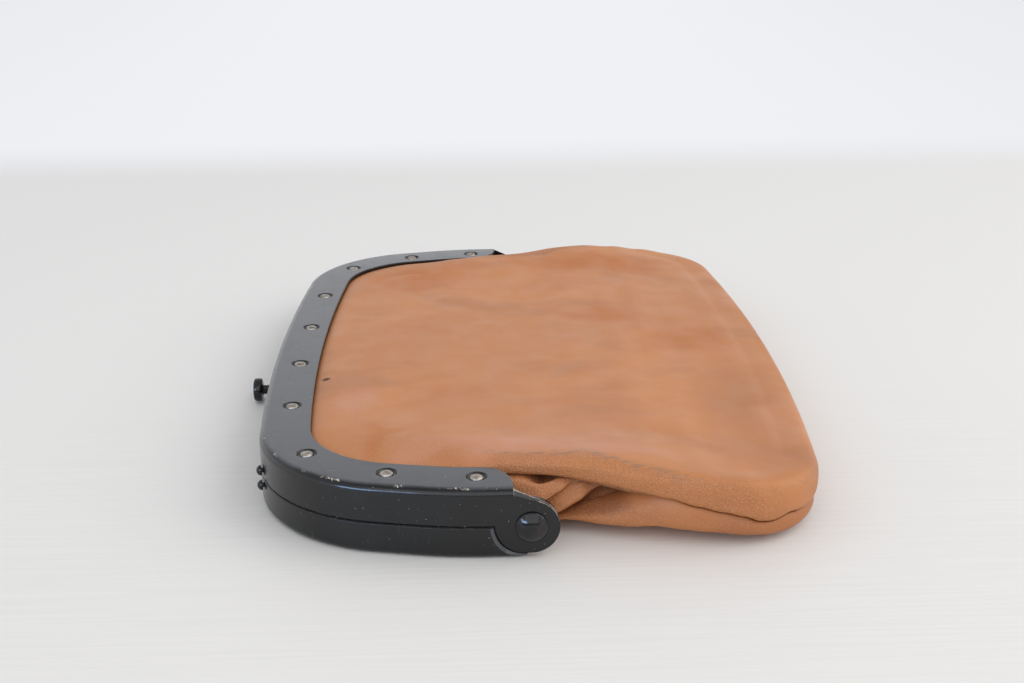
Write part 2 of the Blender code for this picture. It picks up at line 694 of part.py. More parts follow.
def catch_strip(surface):
    """Upper half's strip, whose tongue hangs into the lower half and ends in a nose."""
    strip = spring_strip("catch_strip", True, lambda _along: SPRING_INSET, surface)
    low, _high = strip_band(True)
    foot = low - STRIP_MATING_GAP - HOOK_DROP
    inner = SPRING_INSET + SPRING_SHEET
    outline = (
        (SPRING_INSET, foot),
        (inner + HOOK_NOSE, foot + HOOK_NOSE_HEIGHT / 2),
        (inner + HOOK_NOSE, foot + HOOK_NOSE_HEIGHT),
        (inner, foot + HOOK_NOSE_HEIGHT * 3 / 2),
        (inner, low + STRIP_BAND_HEIGHT / 2),
        (SPRING_INSET, low + STRIP_BAND_HEIGHT / 2),
    )
    margin = JOIN_OVERLAP * 2
    tongue = wall_block("catch_tongue", HOOK_START + margin, HOOK_START + HOOK_WIDTH - margin, outline)
    return combine(strip, tongue, "UNION")


def latch_strip(surface):
    """Lower half's strip: a lip over the catch's nose, and a tab that the knob is riveted to."""
    strip = spring_strip("latch_strip", False, latch_inset, surface)
    _low, high = strip_band(False)
    inset = latch_inset(0.0)
    inner = inset + SPRING_SHEET
    lip = (
        (inset - LATCH_LIP, high - LATCH_LIP * 2),
        (inset - LATCH_LIP, high - LATCH_LIP),
        (inset + SPRING_SHEET / 2, high - JOIN_OVERLAP),
        (inset + SPRING_SHEET / 2, high - LATCH_LIP * 3),
    )
    margin = JOIN_OVERLAP * 2
    hook = wall_block("latch_lip", HOOK_START + margin, HOOK_START + HOOK_WIDTH - margin, lip)
    combine(strip, hook, "UNION")
    foot = SHEET + LATCH_TAB_CLEARANCE
    tab = ((inset, foot), (inner, foot), (inner, high - LATCH_LIP), (inset, high - LATCH_LIP))
    combine(strip, wall_block("latch_tab", -LATCH_TAB_WIDTH / 2, LATCH_TAB_WIDTH / 2, tab), "UNION")
    hole = cylinder_profile(KNOB_NECK_RADIUS + RIVET_HOLE_CLEARANCE, -inner - CUT_OVERRUN, -inset + CUT_OVERRUN)
    neck_cutter = turned_cutters("neck_hole_cutter", hole, [wall_frame(0.0, KNOB_HEIGHT)], RIVET_SIDES)
    return combine(strip, neck_cutter, "DIFFERENCE")


def clasp_button(surface):
    """Press knob: a disc on a stem through the wall, riveted to the latch strip by its neck."""
    shoulder = -latch_inset(0.0) + SPRING_SEAT_GAP
    tail = -latch_inset(0.0) - SPRING_SHEET - SPRING_SEAT_GAP
    back = KNOB_REACH - KNOB_THICKNESS
    rim = KNOB_RADIUS - KNOB_EDGE_ROUNDING
    profile = [
        (0.0, tail - KNOB_TAIL_HEIGHT),
        (KNOB_TAIL_RADIUS, tail - KNOB_TAIL_HEIGHT),
        (KNOB_TAIL_RADIUS, tail),
        (KNOB_NECK_RADIUS, tail),
        (KNOB_NECK_RADIUS, shoulder),
        (KNOB_STEM_RADIUS, shoulder),
        (KNOB_STEM_RADIUS, back),
        (rim, back),
        (KNOB_RADIUS, back + KNOB_EDGE_ROUNDING),
        (KNOB_RADIUS, KNOB_REACH - KNOB_EDGE_ROUNDING),
        (rim, KNOB_REACH),
        (0.0, KNOB_REACH),
    ]
    return turned_piece("clasp_button", profile, wall_frame(0.0, KNOB_HEIGHT), HINGE_SIDES, surface)


def bag_side(x):
    """Half width of the bag, from its waist at the hinge to its widest place."""
    share = (BAG_WIDEST_X - x) / (BAG_WIDEST_X - BAG_JOIN_X)
    narrowing = BAG_WAIST_INSET - BAG_SIDE_INSET
    return BAG_HALF_WIDTH - narrowing * (1 - math.cos(share * math.pi / 2))


def bag_end_points():
    """Near half of the bag's end in plan: a round corner, then a shallow bow to the middle."""
    points = []
    for angle in spread(0.0, BAG_CORNER_TURN, BAG_CORNER_STEPS)[1:]:
        x = BAG_WIDEST_X + BAG_CORNER_RADIUS * math.sin(angle)
        y = -BAG_HALF_WIDTH + BAG_CORNER_RADIUS * (1 - math.cos(angle))
        points.append(Vector((x, y, 0.0)))
    for angle in spread(BAG_END_BOW_ANGLE, 0.0, BAG_BOW_STEPS)[1:]:
        x = LENGTH / 2 - BAG_BOW_RADIUS * (1 - math.cos(angle))
        points.append(Vector((x, -BAG_BOW_RADIUS * math.sin(angle), 0.0)))
    return points


def leather_outline():
    """Closed outline of a panel in plan, anticlockwise from the mouth's middle on the near side."""
    near = []
    for run in reversed(rail_runs(LEATHER_LEAVE_RUN)):
        near.append(inset_point(station(run - MIDDLE_RUN), LEATHER_EDGE_INSET, 0.0))
    left = near[-1]
    for x in spread(left.x, BAG_JOIN_X, BAG_JOIN_STEPS)[1:]:
        share = smooth_step((x - left.x) / (BAG_JOIN_X - left.x))
        near.append(Vector((x, left.y * (1 - share) - bag_side(x) * share, 0.0)))
    near += [Vector((x, -bag_side(x), 0.0)) for x in spread(BAG_JOIN_X, BAG_WIDEST_X, BAG_SIDE_STEPS)[1:]]
    near += bag_end_points()
    far = [Vector((p.x, -p.y, 0.0)) for p in reversed(near[1:-1])]
    return near + far


def wall_share(x):
    """How far a panel has turned from a clamped sheet into a rolled side wall."""
    return smooth_step((x - HINGE_X - WALL_START_RUN) / (WALL_FULL_RUN - WALL_START_RUN))


def seam_depth(front, x):
    """Depth of a panel's edge below its own outer face plane; the seam falls towards the bag's end."""
    fallen = smooth_step((x - BAG_JOIN_X) / SEAM_FALL_RUN)
    seam = SEAM_HEIGHT_AT_HINGE + (SEAM_HEIGHT_AT_END - SEAM_HEIGHT_AT_HINGE) * fallen
    full = TOTAL_HEIGHT - seam - SEAM_GAP / 2 if front else seam - SEAM_GAP / 2
    return CLAMP_DEPTH + (full - CLAMP_DEPTH) * wall_share(x)


def panel_rows(front, x):
    """Outer rows of a panel at a place of its outline, from the edge inwards, as (inset, depth)."""
    crown = FRONT_CROWN_DROP if front else 0.0
    band = FLANGE_WIDTH - LEATHER_EDGE_INSET + FIT_GAP
    clamp_rows = [(band * share, CLAMP_DEPTH) for share in BAND_INSET_SHARES]
    clamp_rows.append((band + THROAT_RUN, crown))
    edge = seam_depth(front, x)
    share = wall_share(x)
    rows = []
    for (clamp_inset, clamp_depth), inset, rise in zip(clamp_rows, ROLL_INSET_SHARES, ROLL_RISE_SHARES):
        roll_inset = ROLL_RADIUS * inset
        roll_depth = edge + (crown - edge) * rise
        row_inset = clamp_inset + (roll_inset - clamp_inset) * share
        rows.append((row_inset, clamp_depth + (roll_depth - clamp_depth) * share))
    return rows


def thickened(rows):
    """Rows moved inwards by the leather's thickness, square to the section."""
    points = [Vector(row) for row in rows]
    steps = [(after - before).normalized() for before, after in zip(points, points[1:])]
    steps = [steps[0]] + steps + [Vector((1.0, 0.0))]
    inner = []
    for point, before, after in zip(points, steps, steps[1:]):
        mean = (before + after).normalized()
        inner.append(point + Vector((-mean.y, mean.x)) * LEATHER / max(mean.dot(after), MITRE_LIMIT_SHARE))
    return inner


def panel(name, front, surface):
    """Leather panel: clamped under the flange at the mouth, rolled over into a side wall round the bag."""
    outline = leather_outline()
    count = len(outline)
    mesh_data = bmesh.new()
    loops = []
    for k, point in enumerate(outline):
        tangent = (outline[(k + 1) % count] - outline[k - 1]).normalized()
        inward = Vector((-tangent.y, tangent.x, 0.0))
        rows = panel_rows(front, point.x)
        column = []
        for section in (rows, thickened(rows)):
            skin = [point + inward * inset + Vector((0, 0, outward(front, depth))) for inset, depth in section]
            middle = Vector((HINGE_X, 0.0, skin[-1].z))
            skin += [middle + (skin[-1] - middle) * share for share in PANEL_RING_SHARES]
            column.append([mesh_data.verts.new(corner) for corner in skin])
        loops.append(column)
    for skin in (0, 1):
        centre = mesh_data.verts.new((HINGE_X, 0.0, loops[0][skin][-1].co.z))
        for k in range(count):
            first, second = loops[k][skin], loops[(k + 1) % count][skin]
            for row in range(len(first) - 1):
                mesh_data.faces.new((first[row], second[row], second[row + 1], first[row + 1]))
            mesh_data.faces.new((first[-1], second[-1], centre))
    for k in range(count):
        first, second = loops[k], loops[(k + 1) % count]
        mesh_data.faces.new((first[0][0], first[1][0], second[1][0], second[0][0]))
    sheet = finish(name, mesh_data, surface)
    return combine(sheet, rivet_hole_cutters(name + "_hole_cutters", front), "DIFFERENCE")


def gusset(name, side, surface):
    """Side gusset, folded in like a bellows between the two panels at the hinge."""
    rings = []
    for run in spread(GUSSET_START_RUN, GUSSET_END_RUN, GUSSET_STEPS):
        x = HINGE_X + run
        share = (run - GUSSET_START_RUN) / (GUSSET_END_RUN - GUSSET_START_RUN)
        depth = GUSSET_DEPTH_AT_HINGE + (GUSSET_DEPTH_AT_END - GUSSET_DEPTH_AT_HINGE) * share
        outer = bag_side(x) - LEATHER - FIT_GAP * 2
        inner = outer - depth
        clear = CLAMP_DEPTH + LEATHER + FIT_GAP
        top = TOTAL_HEIGHT - max(seam_depth(True, x) - GUSSET_LAP, clear)
        foot = max(seam_depth(False, x) - GUSSET_LAP, clear)
        fold = (top + foot) / 2
        section = (
            (outer, top),
            (inner - LEATHER, fold),
            (outer, foot),
            (outer, foot + LEATHER),
            (inner, fold),
            (outer, top - LEATHER),
        )
        rings.append([Vector((x, side * y, z)) for y, z in section])
    return lofted(name, rings, surface)


def main():
    """Clear the scene and build every piece."""
    for old in list(bpy.data.objects):
        bpy.data.objects.remove(old, do_unlink=True)
    enamel = material("black_enamel", (0.03, 0.032, 0.036), 0.35, 0.0)
    blackened = material("blackened_steel", (0.02, 0.02, 0.023), 0.3, 0.6)
    rivet_steel = material("worn_rivet_steel", (0.46, 0.42, 0.39), 0.4, 1.0)
    strip_steel = material("backing_steel", (0.25, 0.25, 0.26), 0.45, 1.0)
    spring_steel = material("spring_steel", (0.35, 0.36, 0.38), 0.3, 1.0)
    leather = material("tan_leather", (0.47, 0.21, 0.09), 0.55, 0.0)

    upper_half = [upper_frame(enamel), backing_strip("upper_backing_strip", True, strip_steel)]
    upper_half += flange_rivets("upper_rivet", True, rivet_steel)
    upper_half += [catch_strip(spring_steel), anchor_stud("catch_stud", True, blackened)]
    pivot("frame_hinge", (HINGE_X, 0.0, AXIS_HEIGHT), upper_half)

    lower_frame(enamel)
    backing_strip("lower_backing_strip", False, strip_steel)
    flange_rivets("lower_rivet", False, rivet_steel)
    for name, place in zip(("hinge_rivet_near", "hinge_rivet_far"), hinge_frames()):
        hinge_rivet(name, place, blackened)
    anchor_stud("latch_stud", False, blackened)
    anchor = station(-ANCHOR_FROM_MIDDLE)
    clasp = [latch_strip(spring_steel), clasp_button(blackened)]
    pivot("latch_flexure", inset_point(anchor, SPRING_INSET, stud_height(False)), clasp)

    panel("front_panel", True, leather)
    panel("back_panel", False, leather)
    gusset("near_gusset", -1, leather)
    gusset("far_gusset", 1, leather)


main()
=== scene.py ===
"""Dressed money pouch: an enamelled clasp frame, a worn leather bag and a press knob in a plain studio."""
import json
import logging
import math
from dataclasses import dataclass, field
from enum import Enum
from typing import Callable, ClassVar, Optional, Sequence

import bmesh
import bpy
import numpy as np
from mathutils import Matrix, Vector, noise


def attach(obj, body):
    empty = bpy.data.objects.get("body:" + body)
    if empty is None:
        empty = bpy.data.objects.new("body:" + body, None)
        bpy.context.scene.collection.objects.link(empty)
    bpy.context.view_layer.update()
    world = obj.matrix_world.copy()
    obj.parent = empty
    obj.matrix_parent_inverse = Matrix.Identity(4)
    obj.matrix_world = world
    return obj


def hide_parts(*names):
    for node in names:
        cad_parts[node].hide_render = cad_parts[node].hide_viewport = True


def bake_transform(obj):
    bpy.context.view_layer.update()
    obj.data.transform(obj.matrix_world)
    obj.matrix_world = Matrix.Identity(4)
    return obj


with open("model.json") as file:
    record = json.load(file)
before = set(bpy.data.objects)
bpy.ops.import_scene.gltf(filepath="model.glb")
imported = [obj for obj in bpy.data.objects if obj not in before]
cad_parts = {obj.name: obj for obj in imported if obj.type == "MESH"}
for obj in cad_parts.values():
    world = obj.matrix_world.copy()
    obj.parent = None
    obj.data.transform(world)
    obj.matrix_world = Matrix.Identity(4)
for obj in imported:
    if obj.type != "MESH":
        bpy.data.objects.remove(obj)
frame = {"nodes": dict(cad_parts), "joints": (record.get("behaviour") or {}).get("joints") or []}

LOG = logging.getLogger("pouch")
MM = 0.001
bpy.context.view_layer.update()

Row = tuple[float, float]
Patch = tuple[float, float, float, float, float]
Place = tuple[float, float, float]
Span = tuple[Place, Place]
SIDES = (("near", -1), ("far", 1))


class Body(Enum):
    """Rigid bodies of the pouch that a piece can ride on."""

    LOWER = "lower_half"
    UPPER = "upper_half"
    CLASP = "clasp"


class Half(Enum):
    """Half of the clasp frame."""

    UPPER = "upper"
    LOWER = "lower"


class Operation(Enum):
    """How a tool shape changes a pressed part."""

    JOIN = "UNION"
    CUT = "DIFFERENCE"


def linear(code: str) -> tuple[float, float, float, float]:
    """Turn an sRGB hex code into a linear colour.

    Args:
        code: Six hex digits after a hash sign.

    Returns:
        Red, green, blue and alpha.
    """
    parts = [int(code[k:k + 2], 16) / 255 for k in (1, 3, 5)]
    levels = [c / 12.92 if c <= 0.04045 else ((c + 0.055) / 1.055) ** 2.4 for c in parts]
    return levels[0], levels[1], levels[2], 1.0


def ramp(value: float, start: float, end: float) -> float:
    """Return a smooth ramp that is 0 at start and 1 at end."""
    share = min(max((value - start) / (end - start), 0.0), 1.0)
    return share * share * (3 - 2 * share)


def spread(start: float, end: float, steps: int) -> list[float]:
    """Return values from start to end in equal steps."""
    return [start + (end - start) * k / steps for k in range(steps + 1)]


def in_mm(rows: Sequence[Row]) -> list[Row]:
    """Return pairs that are written in millimetres as metres."""
    return [(a * MM, b * MM) for a, b in rows]


def arc(centre: Row, radius: float, start: float, end: float, steps: int) -> list[Row]:
    """Return points of an arc in a plane.

    Args:
        centre: Centre of the arc.
        radius: Its radius in metres.
        start: First angle in degrees.
        end: Last angle in degrees.
        steps: Number of chords.

    Returns:
        The points from start to end.
    """
    angles = [math.radians(a) for a in spread(start, end, steps)]
    return [(centre[0] + radius * math.cos(a), centre[1] + radius * math.sin(a)) for a in angles]


def through(controls: Sequence[Row], count: int = 5) -> list[Row]:
    """Return points of a smooth curve that passes through its controls.

    Args:
        controls: Points that the curve passes through, in order.
        count: Number of points between two controls.

    Returns:
        The curve's points, ends included.
    """
    points = [Vector(c) for c in controls]
    padded = [points[0] * 2 - points[1]] + points + [points[-1] * 2 - points[-2]]
    out: list[Row] = []
    for before, a, b, after in zip(padded, padded[1:], padded[2:], padded[3:]):
        for step in range(count):
            t = step / count
            p = 0.5 * (2 * a + (b - before) * t + (2 * before - 5 * a + 4 * b - after) * t * t
                       + (3 * a - before - 3 * b + after) * t ** 3)
            out.append((p.x, p.y))
    return out + [(points[-1].x, points[-1].y)]


@dataclass(frozen=True)
class Profile:
    """Smooth line of levels along the pouch, through control points written in millimetres."""

    rows: tuple[Row, ...]

    def level(self, x: float) -> float:
        """Return the level at a place in metres, in the table's own unit.

        Args:
            x: The place along the pouch.

        Returns:
            The level there.
        """
        at = x / MM
        if at <= self.rows[0][0]:
            return self.rows[0][1]
        for (x0, y0), (x1, y1) in zip(self.rows, self.rows[1:]):
            if at <= x1:
                return y0 + (y1 - y0) * ramp(at, x0, x1)
        return self.rows[-1][1]

    def __call__(self, x: float) -> float:
        """Return the level at a place, both in metres."""
        return self.level(x) * MM


@dataclass(frozen=True)
class Station:
    """Place on the frame's outer face, with the way into the pouch."""

    x: float
    y: float
    nx: float
    ny: float

    def at(self, inset: float, z: float) -> Vector:
        """Return the point at an inset from the outer face and a height."""
        return Vector((self.x + inset * self.nx, self.y + inset * self.ny, z))


@dataclass(frozen=True)
class FrameOutline:
    """Plan outline of the clasp frame's outer face, from the hinge round the mouth."""

    hinge_x: float
    axis_z: float
    ear_half_width: float = 68.5 * MM
    ear_straight: float = 6.4 * MM
    bend_radius: float = 55.0 * MM
    splay: float = math.radians(11.7)
    arm_straight: float = 6.8 * MM
    corner_radius: float = 25.7 * MM
    bow: float = math.radians(4.65)
    flange_width: float = 8.6 * MM
    total_height: float = 11.8 * MM

    def stretches(self) -> list[Row]:
        """Return the stretches of half the outline as (length, turn).

        Returns:
            Lengths and turns from the hinge to the mouth's middle.
        """
        fallen = self.bend_radius * (1 - math.cos(self.splay)) + self.arm_straight * math.sin(self.splay)
        fallen += self.corner_radius * (math.cos(self.splay) - math.sin(self.bow))
        bow_radius = (self.ear_half_width - fallen) / math.sin(self.bow)
        turn = math.pi / 2 - self.splay - self.bow
        return [(self.ear_straight, 0.0), (self.bend_radius * self.splay, self.splay),
                (self.arm_straight, 0.0), (self.corner_radius * turn, turn),
                (bow_radius * self.bow, self.bow)]

    def middle_run(self) -> float:
        """Return the outline's length from the hinge axis to the mouth's middle."""
        return sum(length for length, _turn in self.stretches())

    def station(self, along: float) -> Station:
        """Return the place at a signed length from the mouth's middle, below zero on the near side.

        Args:
            along: Length along the outer face in metres.

        Returns:
            The station there.
        """
        side = -1 if along < 0 else 1
        run = self.middle_run() - abs(along)
        x, y, heading = 0.0, self.ear_half_width, math.pi
        if run <= 0:
            return Station(self.hinge_x - run, side * y, 0.0, -side * 1.0)
        for length, turn in self.stretches():
            part = min(run, length)
            if turn:
                radius = length / turn
                after = heading + part / radius
                x += radius * (math.sin(after) - math.sin(heading))
                y -= radius * (math.cos(after) - math.cos(heading))
                heading = after
            else:
                x += part * math.cos(heading)
                y += part * math.sin(heading)
            run -= part
            if run <= 0:
                break
        return Station(self.hinge_x + x, side * y, -math.sin(heading), side * math.cos(heading))

    def alongs(self, end_runs: Sequence[float], pitch: float) -> list[float]:
        """Return signed lengths from the near end to the far end, closer at both ends.

        Args:
            end_runs: Runs from the hinge axis near the end, in order.
            pitch: Step of the rest of the outline.

        Returns:
            The signed lengths, in order.
        """
        middle = self.middle_run()
        steps = max(int((middle - end_runs[-1]) / pitch), 1)
        far = [middle - run for run in [*end_runs, *spread(end_runs[-1], middle, steps)[1:-1]]]
        return [-a for a in far] + [0.0] + far[::-1]


@dataclass
class Loft:
    """Mesh gathered ring by ring."""

    data: bmesh.types.BMesh = field(default_factory=bmesh.new)

    def ring(self, points: Sequence[Vector]) -> list[bmesh.types.BMVert]:
        """Add a ring of points and return its vertices."""
        return [self.data.verts.new(p) for p in points]

    def skin(self, first: Sequence, second: Sequence, closed: bool = True) -> None:
        """Join two rings with quads.

        Args:
            first: Ring of vertices.
            second: Next ring, with as many vertices.
            closed: Whether the rings close on themselves.
        """
        for k in range(len(first) if closed else len(first) - 1):
            after = (k + 1) % len(first)
            self.data.faces.new((first[k], first[after], second[after], second[k]))

    def body(self, rings: Sequence[Sequence[Vector]]) -> None:
        """Add a closed body through rings, capped at both ends.

        Args:
            rings: The rings of points, in order.
        """
        loops = [self.ring(points) for points in rings]
        for first, second in zip(loops, loops[1:]):
            self.skin(first, second)
        self.data.faces.new(loops[0])
        self.data.faces.new(loops[-1])

    def turned(self, profile: Sequence[Row], place: Matrix, sides: int) -> None:
        """Add a body turned about a place's Z axis.

        Args:
            profile: Radius and height pairs that start and end on the axis.
            place: Frame of the turned body.
            sides: Number of flats round it.
        """
        bottom, top = (self.data.verts.new(place @ Vector((0, 0, profile[end][1]))) for end in (0, -1))
        angles = [2 * math.pi * k / sides for k in range(sides)]
        loops = [self.ring([place @ Vector((radius * math.cos(a), radius * math.sin(a), height))
                            for a in angles]) for radius, height in profile[1:-1]]
        for first, second in zip(loops, loops[1:]):
            self.skin(first, second)
        for k in range(sides):
            after = (k + 1) % sides
            self.data.faces.new((bottom, loops[0][after], loops[0][k]))
            self.data.faces.new((top, loops[-1][k], loops[-1][after]))

    def finish(self, name: str, sharp: float = 35.0) -> bpy.types.Object:
        """Turn the gathered mesh into a smooth-shaded object.

        Args:
            name: The object's name.
            sharp: Angle in degrees over which an edge stays sharp.

        Returns:
            The new object, linked to the scene.
        """
        bmesh.ops.recalc_face_normals(self.data, faces=self.data.faces)
        mesh = bpy.data.meshes.new(name)
        self.data.to_mesh(mesh)
        self.data.free()
        made = bpy.data.objects.new(name, mesh)
        bpy.context.scene.collection.objects.link(made)
        shade(made, sharp)
        return made


def turned_piece(name: str, profile: Sequence[Row], places: Sequence[Matrix], sides: int,
                 sharp: float = 35.0) -> bpy.types.Object:
    """Return one object turned about the Z axis of each of its places.

    Args:
        name: The object's name.
        profile: Radius and height pairs in millimetres.
        places: Frames of the turned bodies.
        sides: Number of flats round each.
        sharp: Angle in degrees over which an edge stays sharp.

    Returns:
        The new object.
    """
    loft = Loft()
    for place in places:
        loft.turned(in_mm(profile), place, sides)
    return loft.finish(name, sharp)


def shade(piece: bpy.types.Object, sharp: float) -> None:
    """Shade a piece smooth, with its edges over an angle in degrees left sharp."""
    piece.data.shade_smooth()
    piece.data.set_sharp_from_angle(angle=math.radians(sharp))


def face(piece: bpy.types.Object, way: Vector) -> None:
    """Turn a sheet's faces over where most of them don't look along a way."""
    if sum(p.normal.dot(way) * p.area for p in piece.data.polygons) < 0:
        piece.data.flip_normals()


def settle(piece: bpy.types.Object) -> None:
    """Apply a piece's modifiers to its mesh.

    Args:
        piece: Object whose modifiers are applied.
    """
    bpy.context.view_layer.update()
    evaluated = piece.evaluated_get(bpy.context.evaluated_depsgraph_get())
    mesh = bpy.data.meshes.new_from_object(evaluated)
    piece.modifiers.clear()
    piece.data = mesh


def work(base: bpy.types.Object, tool: bpy.types.Object, operation: Operation) -> None:
    """Join a tool shape to a part or cut it away, and drop the tool.

    Args:
        base: Pressed part, which is changed in place.
        tool: Shape that is joined or cut away.
        operation: Which of the two.
    """
    modifier = base.modifiers.new("Work", "BOOLEAN")
    modifier.operation = operation.value
    modifier.solver = "EXACT"
    modifier.object = tool
    settle(base)
    bpy.data.objects.remove(tool, do_unlink=True)


def vertex_value(piece: bpy.types.Object, name: str, value: Callable[[Vector], float],
                 inner: Optional[float] = None) -> None:
    """Store a value on each vertex for its material to read.

    Args:
        piece: Mesh object to write on.
        name: The attribute's name.
        value: Value at a vertex's place.
        inner: Value for the inner skin of a thickened sheet, where it differs.
    """
    outer = len(piece.data.vertices) // (1 if inner is None else 2)
    values = [value(v.co) if v.index < outer else inner for v in piece.data.vertices]
    piece.data.attributes.new(name, "FLOAT", "POINT").data.foreach_set("value", values)


RANGE = ("Value", "From Min", "From Max", "To Min", "To Max")


class Kind(Enum):
    """Kinds of node: Blender's type, the output that is read, the inputs in their order, any settings."""

    OBJECT_PLACE = ("ShaderNodeTexCoord", "Object", ())
    OBJECT_NORMAL = ("ShaderNodeTexCoord", "Normal", ())
    ROOM_WAY = ("ShaderNodeTexCoord", "Generated", ())
    FACE_NORMAL = ("ShaderNodeNewGeometry", "Normal", ())
    ROUNDED_NORMAL = ("ShaderNodeBevel", "Normal", ("Radius",), ("samples", 6))
    STORED = ("ShaderNodeAttribute", "Fac", ())
    SCALED = ("ShaderNodeMapping", "Vector", ("Vector", "Scale"))
    NOISE = ("ShaderNodeTexNoise", "Fac", ("Vector", "Scale", "Detail", "Roughness", "Distortion"))
    CELLS = ("ShaderNodeTexVoronoi", "Distance", ("Vector", "Scale"), ("feature", "F1"))
    BAND = ("ShaderNodeMapRange", "Result", RANGE, ("interpolation_type", "SMOOTHSTEP"))
    SLOPE = ("ShaderNodeMapRange", "Result", RANGE, ("interpolation_type", "LINEAR"))
    BLEND = ("ShaderNodeMix", 2, (0, 6, 7), ("data_type", "RGBA"))
    CHOICE = ("ShaderNodeMix", 0, (0, 2, 3), ("data_type", "FLOAT"))
    RELIEF = ("ShaderNodeBump", "Normal", ("Height", "Distance", "Normal"))
    X = ("ShaderNodeSeparateXYZ", "X", (0,))
    Y = ("ShaderNodeSeparateXYZ", "Y", (0,))
    Z = ("ShaderNodeSeparateXYZ", "Z", (0,))
    ADD = ("ShaderNodeMath", 0, (0, 1), ("operation", "ADD"))
    SUBTRACT = ("ShaderNodeMath", 0, (0, 1), ("operation", "SUBTRACT"))
    MULTIPLY = ("ShaderNodeMath", 0, (0, 1), ("operation", "MULTIPLY"))
    GREATER = ("ShaderNodeMath", 0, (0, 1), ("operation", "MAXIMUM"))
    ABSOLUTE = ("ShaderNodeMath", 0, (0,), ("operation", "ABSOLUTE"))
    DOT = ("ShaderNodeVectorMath", "Value", (0, 1), ("operation", "DOT_PRODUCT"))
    DISTANCE = ("ShaderNodeVectorMath", "Value", (0, 1), ("operation", "DISTANCE"))
    LENGTH = ("ShaderNodeVectorMath", "Value", (0,), ("operation", "LENGTH"))
    OFFSET = ("ShaderNodeVectorMath", "Vector", (0, 1), ("operation", "SUBTRACT"))
    FLATTENED = ("ShaderNodeVectorMath", "Vector", (0, 1), ("operation", "MULTIPLY"))
    SEEN = ("ShaderNodeLightPath", "Is Camera Ray", ())
    MIRRORED = ("ShaderNodeLightPath", "Is Glossy Ray", ())
    THROUGH_GLASS = ("ShaderNodeLightPath", "Is Transmission Ray", ())
    GLOW = ("ShaderNodeEmission", 0, ("Color", "Strength"))
    LAYERS = ("ShaderNodeMixShader", 0, (0, 1, 2))

    def __init__(self, blender: str, output: object, inputs: tuple, *settings: tuple[str, object]) -> None:
        """Keep the parts of a kind under their names."""
        self.blender, self.output, self.inputs, self.settings = blender, output, inputs, settings


@dataclass(frozen=True)
class Signal:
    """Output of a node, which is reckoned with like a number."""

    nodes: "Nodes"
    socket: bpy.types.NodeSocket

    def __add__(self, other: object) -> "Signal":
        """Return a sum."""
        return self.nodes.add(Kind.ADD, self, other)

    def __sub__(self, other: object) -> "Signal":
        """Return a difference."""
        return self.nodes.add(Kind.SUBTRACT, self, other)

    def __rsub__(self, other: object) -> "Signal":
        """Return what is left of a number."""
        return self.nodes.add(Kind.SUBTRACT, other, self)

    def __mul__(self, other: object) -> "Signal":
        """Return a product."""
        return self.nodes.add(Kind.MULTIPLY, self, other)

    def __or__(self, other: object) -> "Signal":
        """Return the greater of two."""
        return self.nodes.add(Kind.GREATER, self, other)


@dataclass
class Nodes:
    """Node tree that is written as signals."""

    tree: bpy.types.NodeTree

    def feed(self, socket: bpy.types.NodeSocket, value: object) -> None:
        """Link an input or set it.

        Args:
            socket: The input.
            value: A signal or an output to link, a value, or the hex code of a colour.
        """
        value = value.socket if isinstance(value, Signal) else value
        if isinstance(value, bpy.types.NodeSocket):
            self.tree.links.new(value, socket)
        else:
            socket.default_value = linear(value) if isinstance(value, str) else value

    def add(self, kind: Kind, *values: object, **settings: object) -> Signal:
        """Add a node with its settings and links.

        Args:
            kind: Kind of node.
            *values: What feeds its inputs, in their order.
            **settings: Properties of the node beside those of its kind.

        Returns:
            The output that is read.
        """
        node = self.tree.nodes.new(kind.blender)
        for key, value in (*kind.settings, *settings.items()):
            setattr(node, key, value)
        for key, value in zip(kind.inputs, values):
            self.feed(node.inputs[key], value)
        return Signal(self, node.outputs[kind.output])


class Recipe(Nodes):
    """Node tree of one material, with patterns of real sizes in millimetres."""

    def __init__(self, name: str) -> None:
        """Start a material with its shader.

        Args:
            name: The material's name.
        """
        self.material = bpy.data.materials.new(name)
        self.material.use_nodes = True
        super().__init__(self.material.node_tree)
        self.shader = self.tree.nodes["Principled BSDF"]
        self.place = self.add(Kind.OBJECT_PLACE)

    def grain(self, size: float, detail: float = 2.0, rough: float = 0.5, warp: float = 0.0) -> Signal:
        """Return a fractal pattern whose patches are about a size across."""
        return self.add(Kind.NOISE, self.place, 1.0 / (size * MM), detail, rough, warp)

    def streaks(self, sizes: tuple[float, float, float], detail: float = 2.0) -> Signal:
        """Return a fractal pattern with a size along each axis."""
        scaled = self.add(Kind.SCALED, self.place, tuple(1.0 / (size * MM) for size in sizes))
        return self.add(Kind.NOISE, scaled, 1.0, detail)

    def connect(self, **inputs: object) -> bpy.types.Material:
        """Set or link the shader's inputs.

        Args:
            **inputs: Signals or values by the input's name, with its spaces as underscores.

        Returns:
            The material.
        """
        for key, value in inputs.items():
            self.feed(self.shader.inputs[key.replace("_", " ")], value)
        return self.material


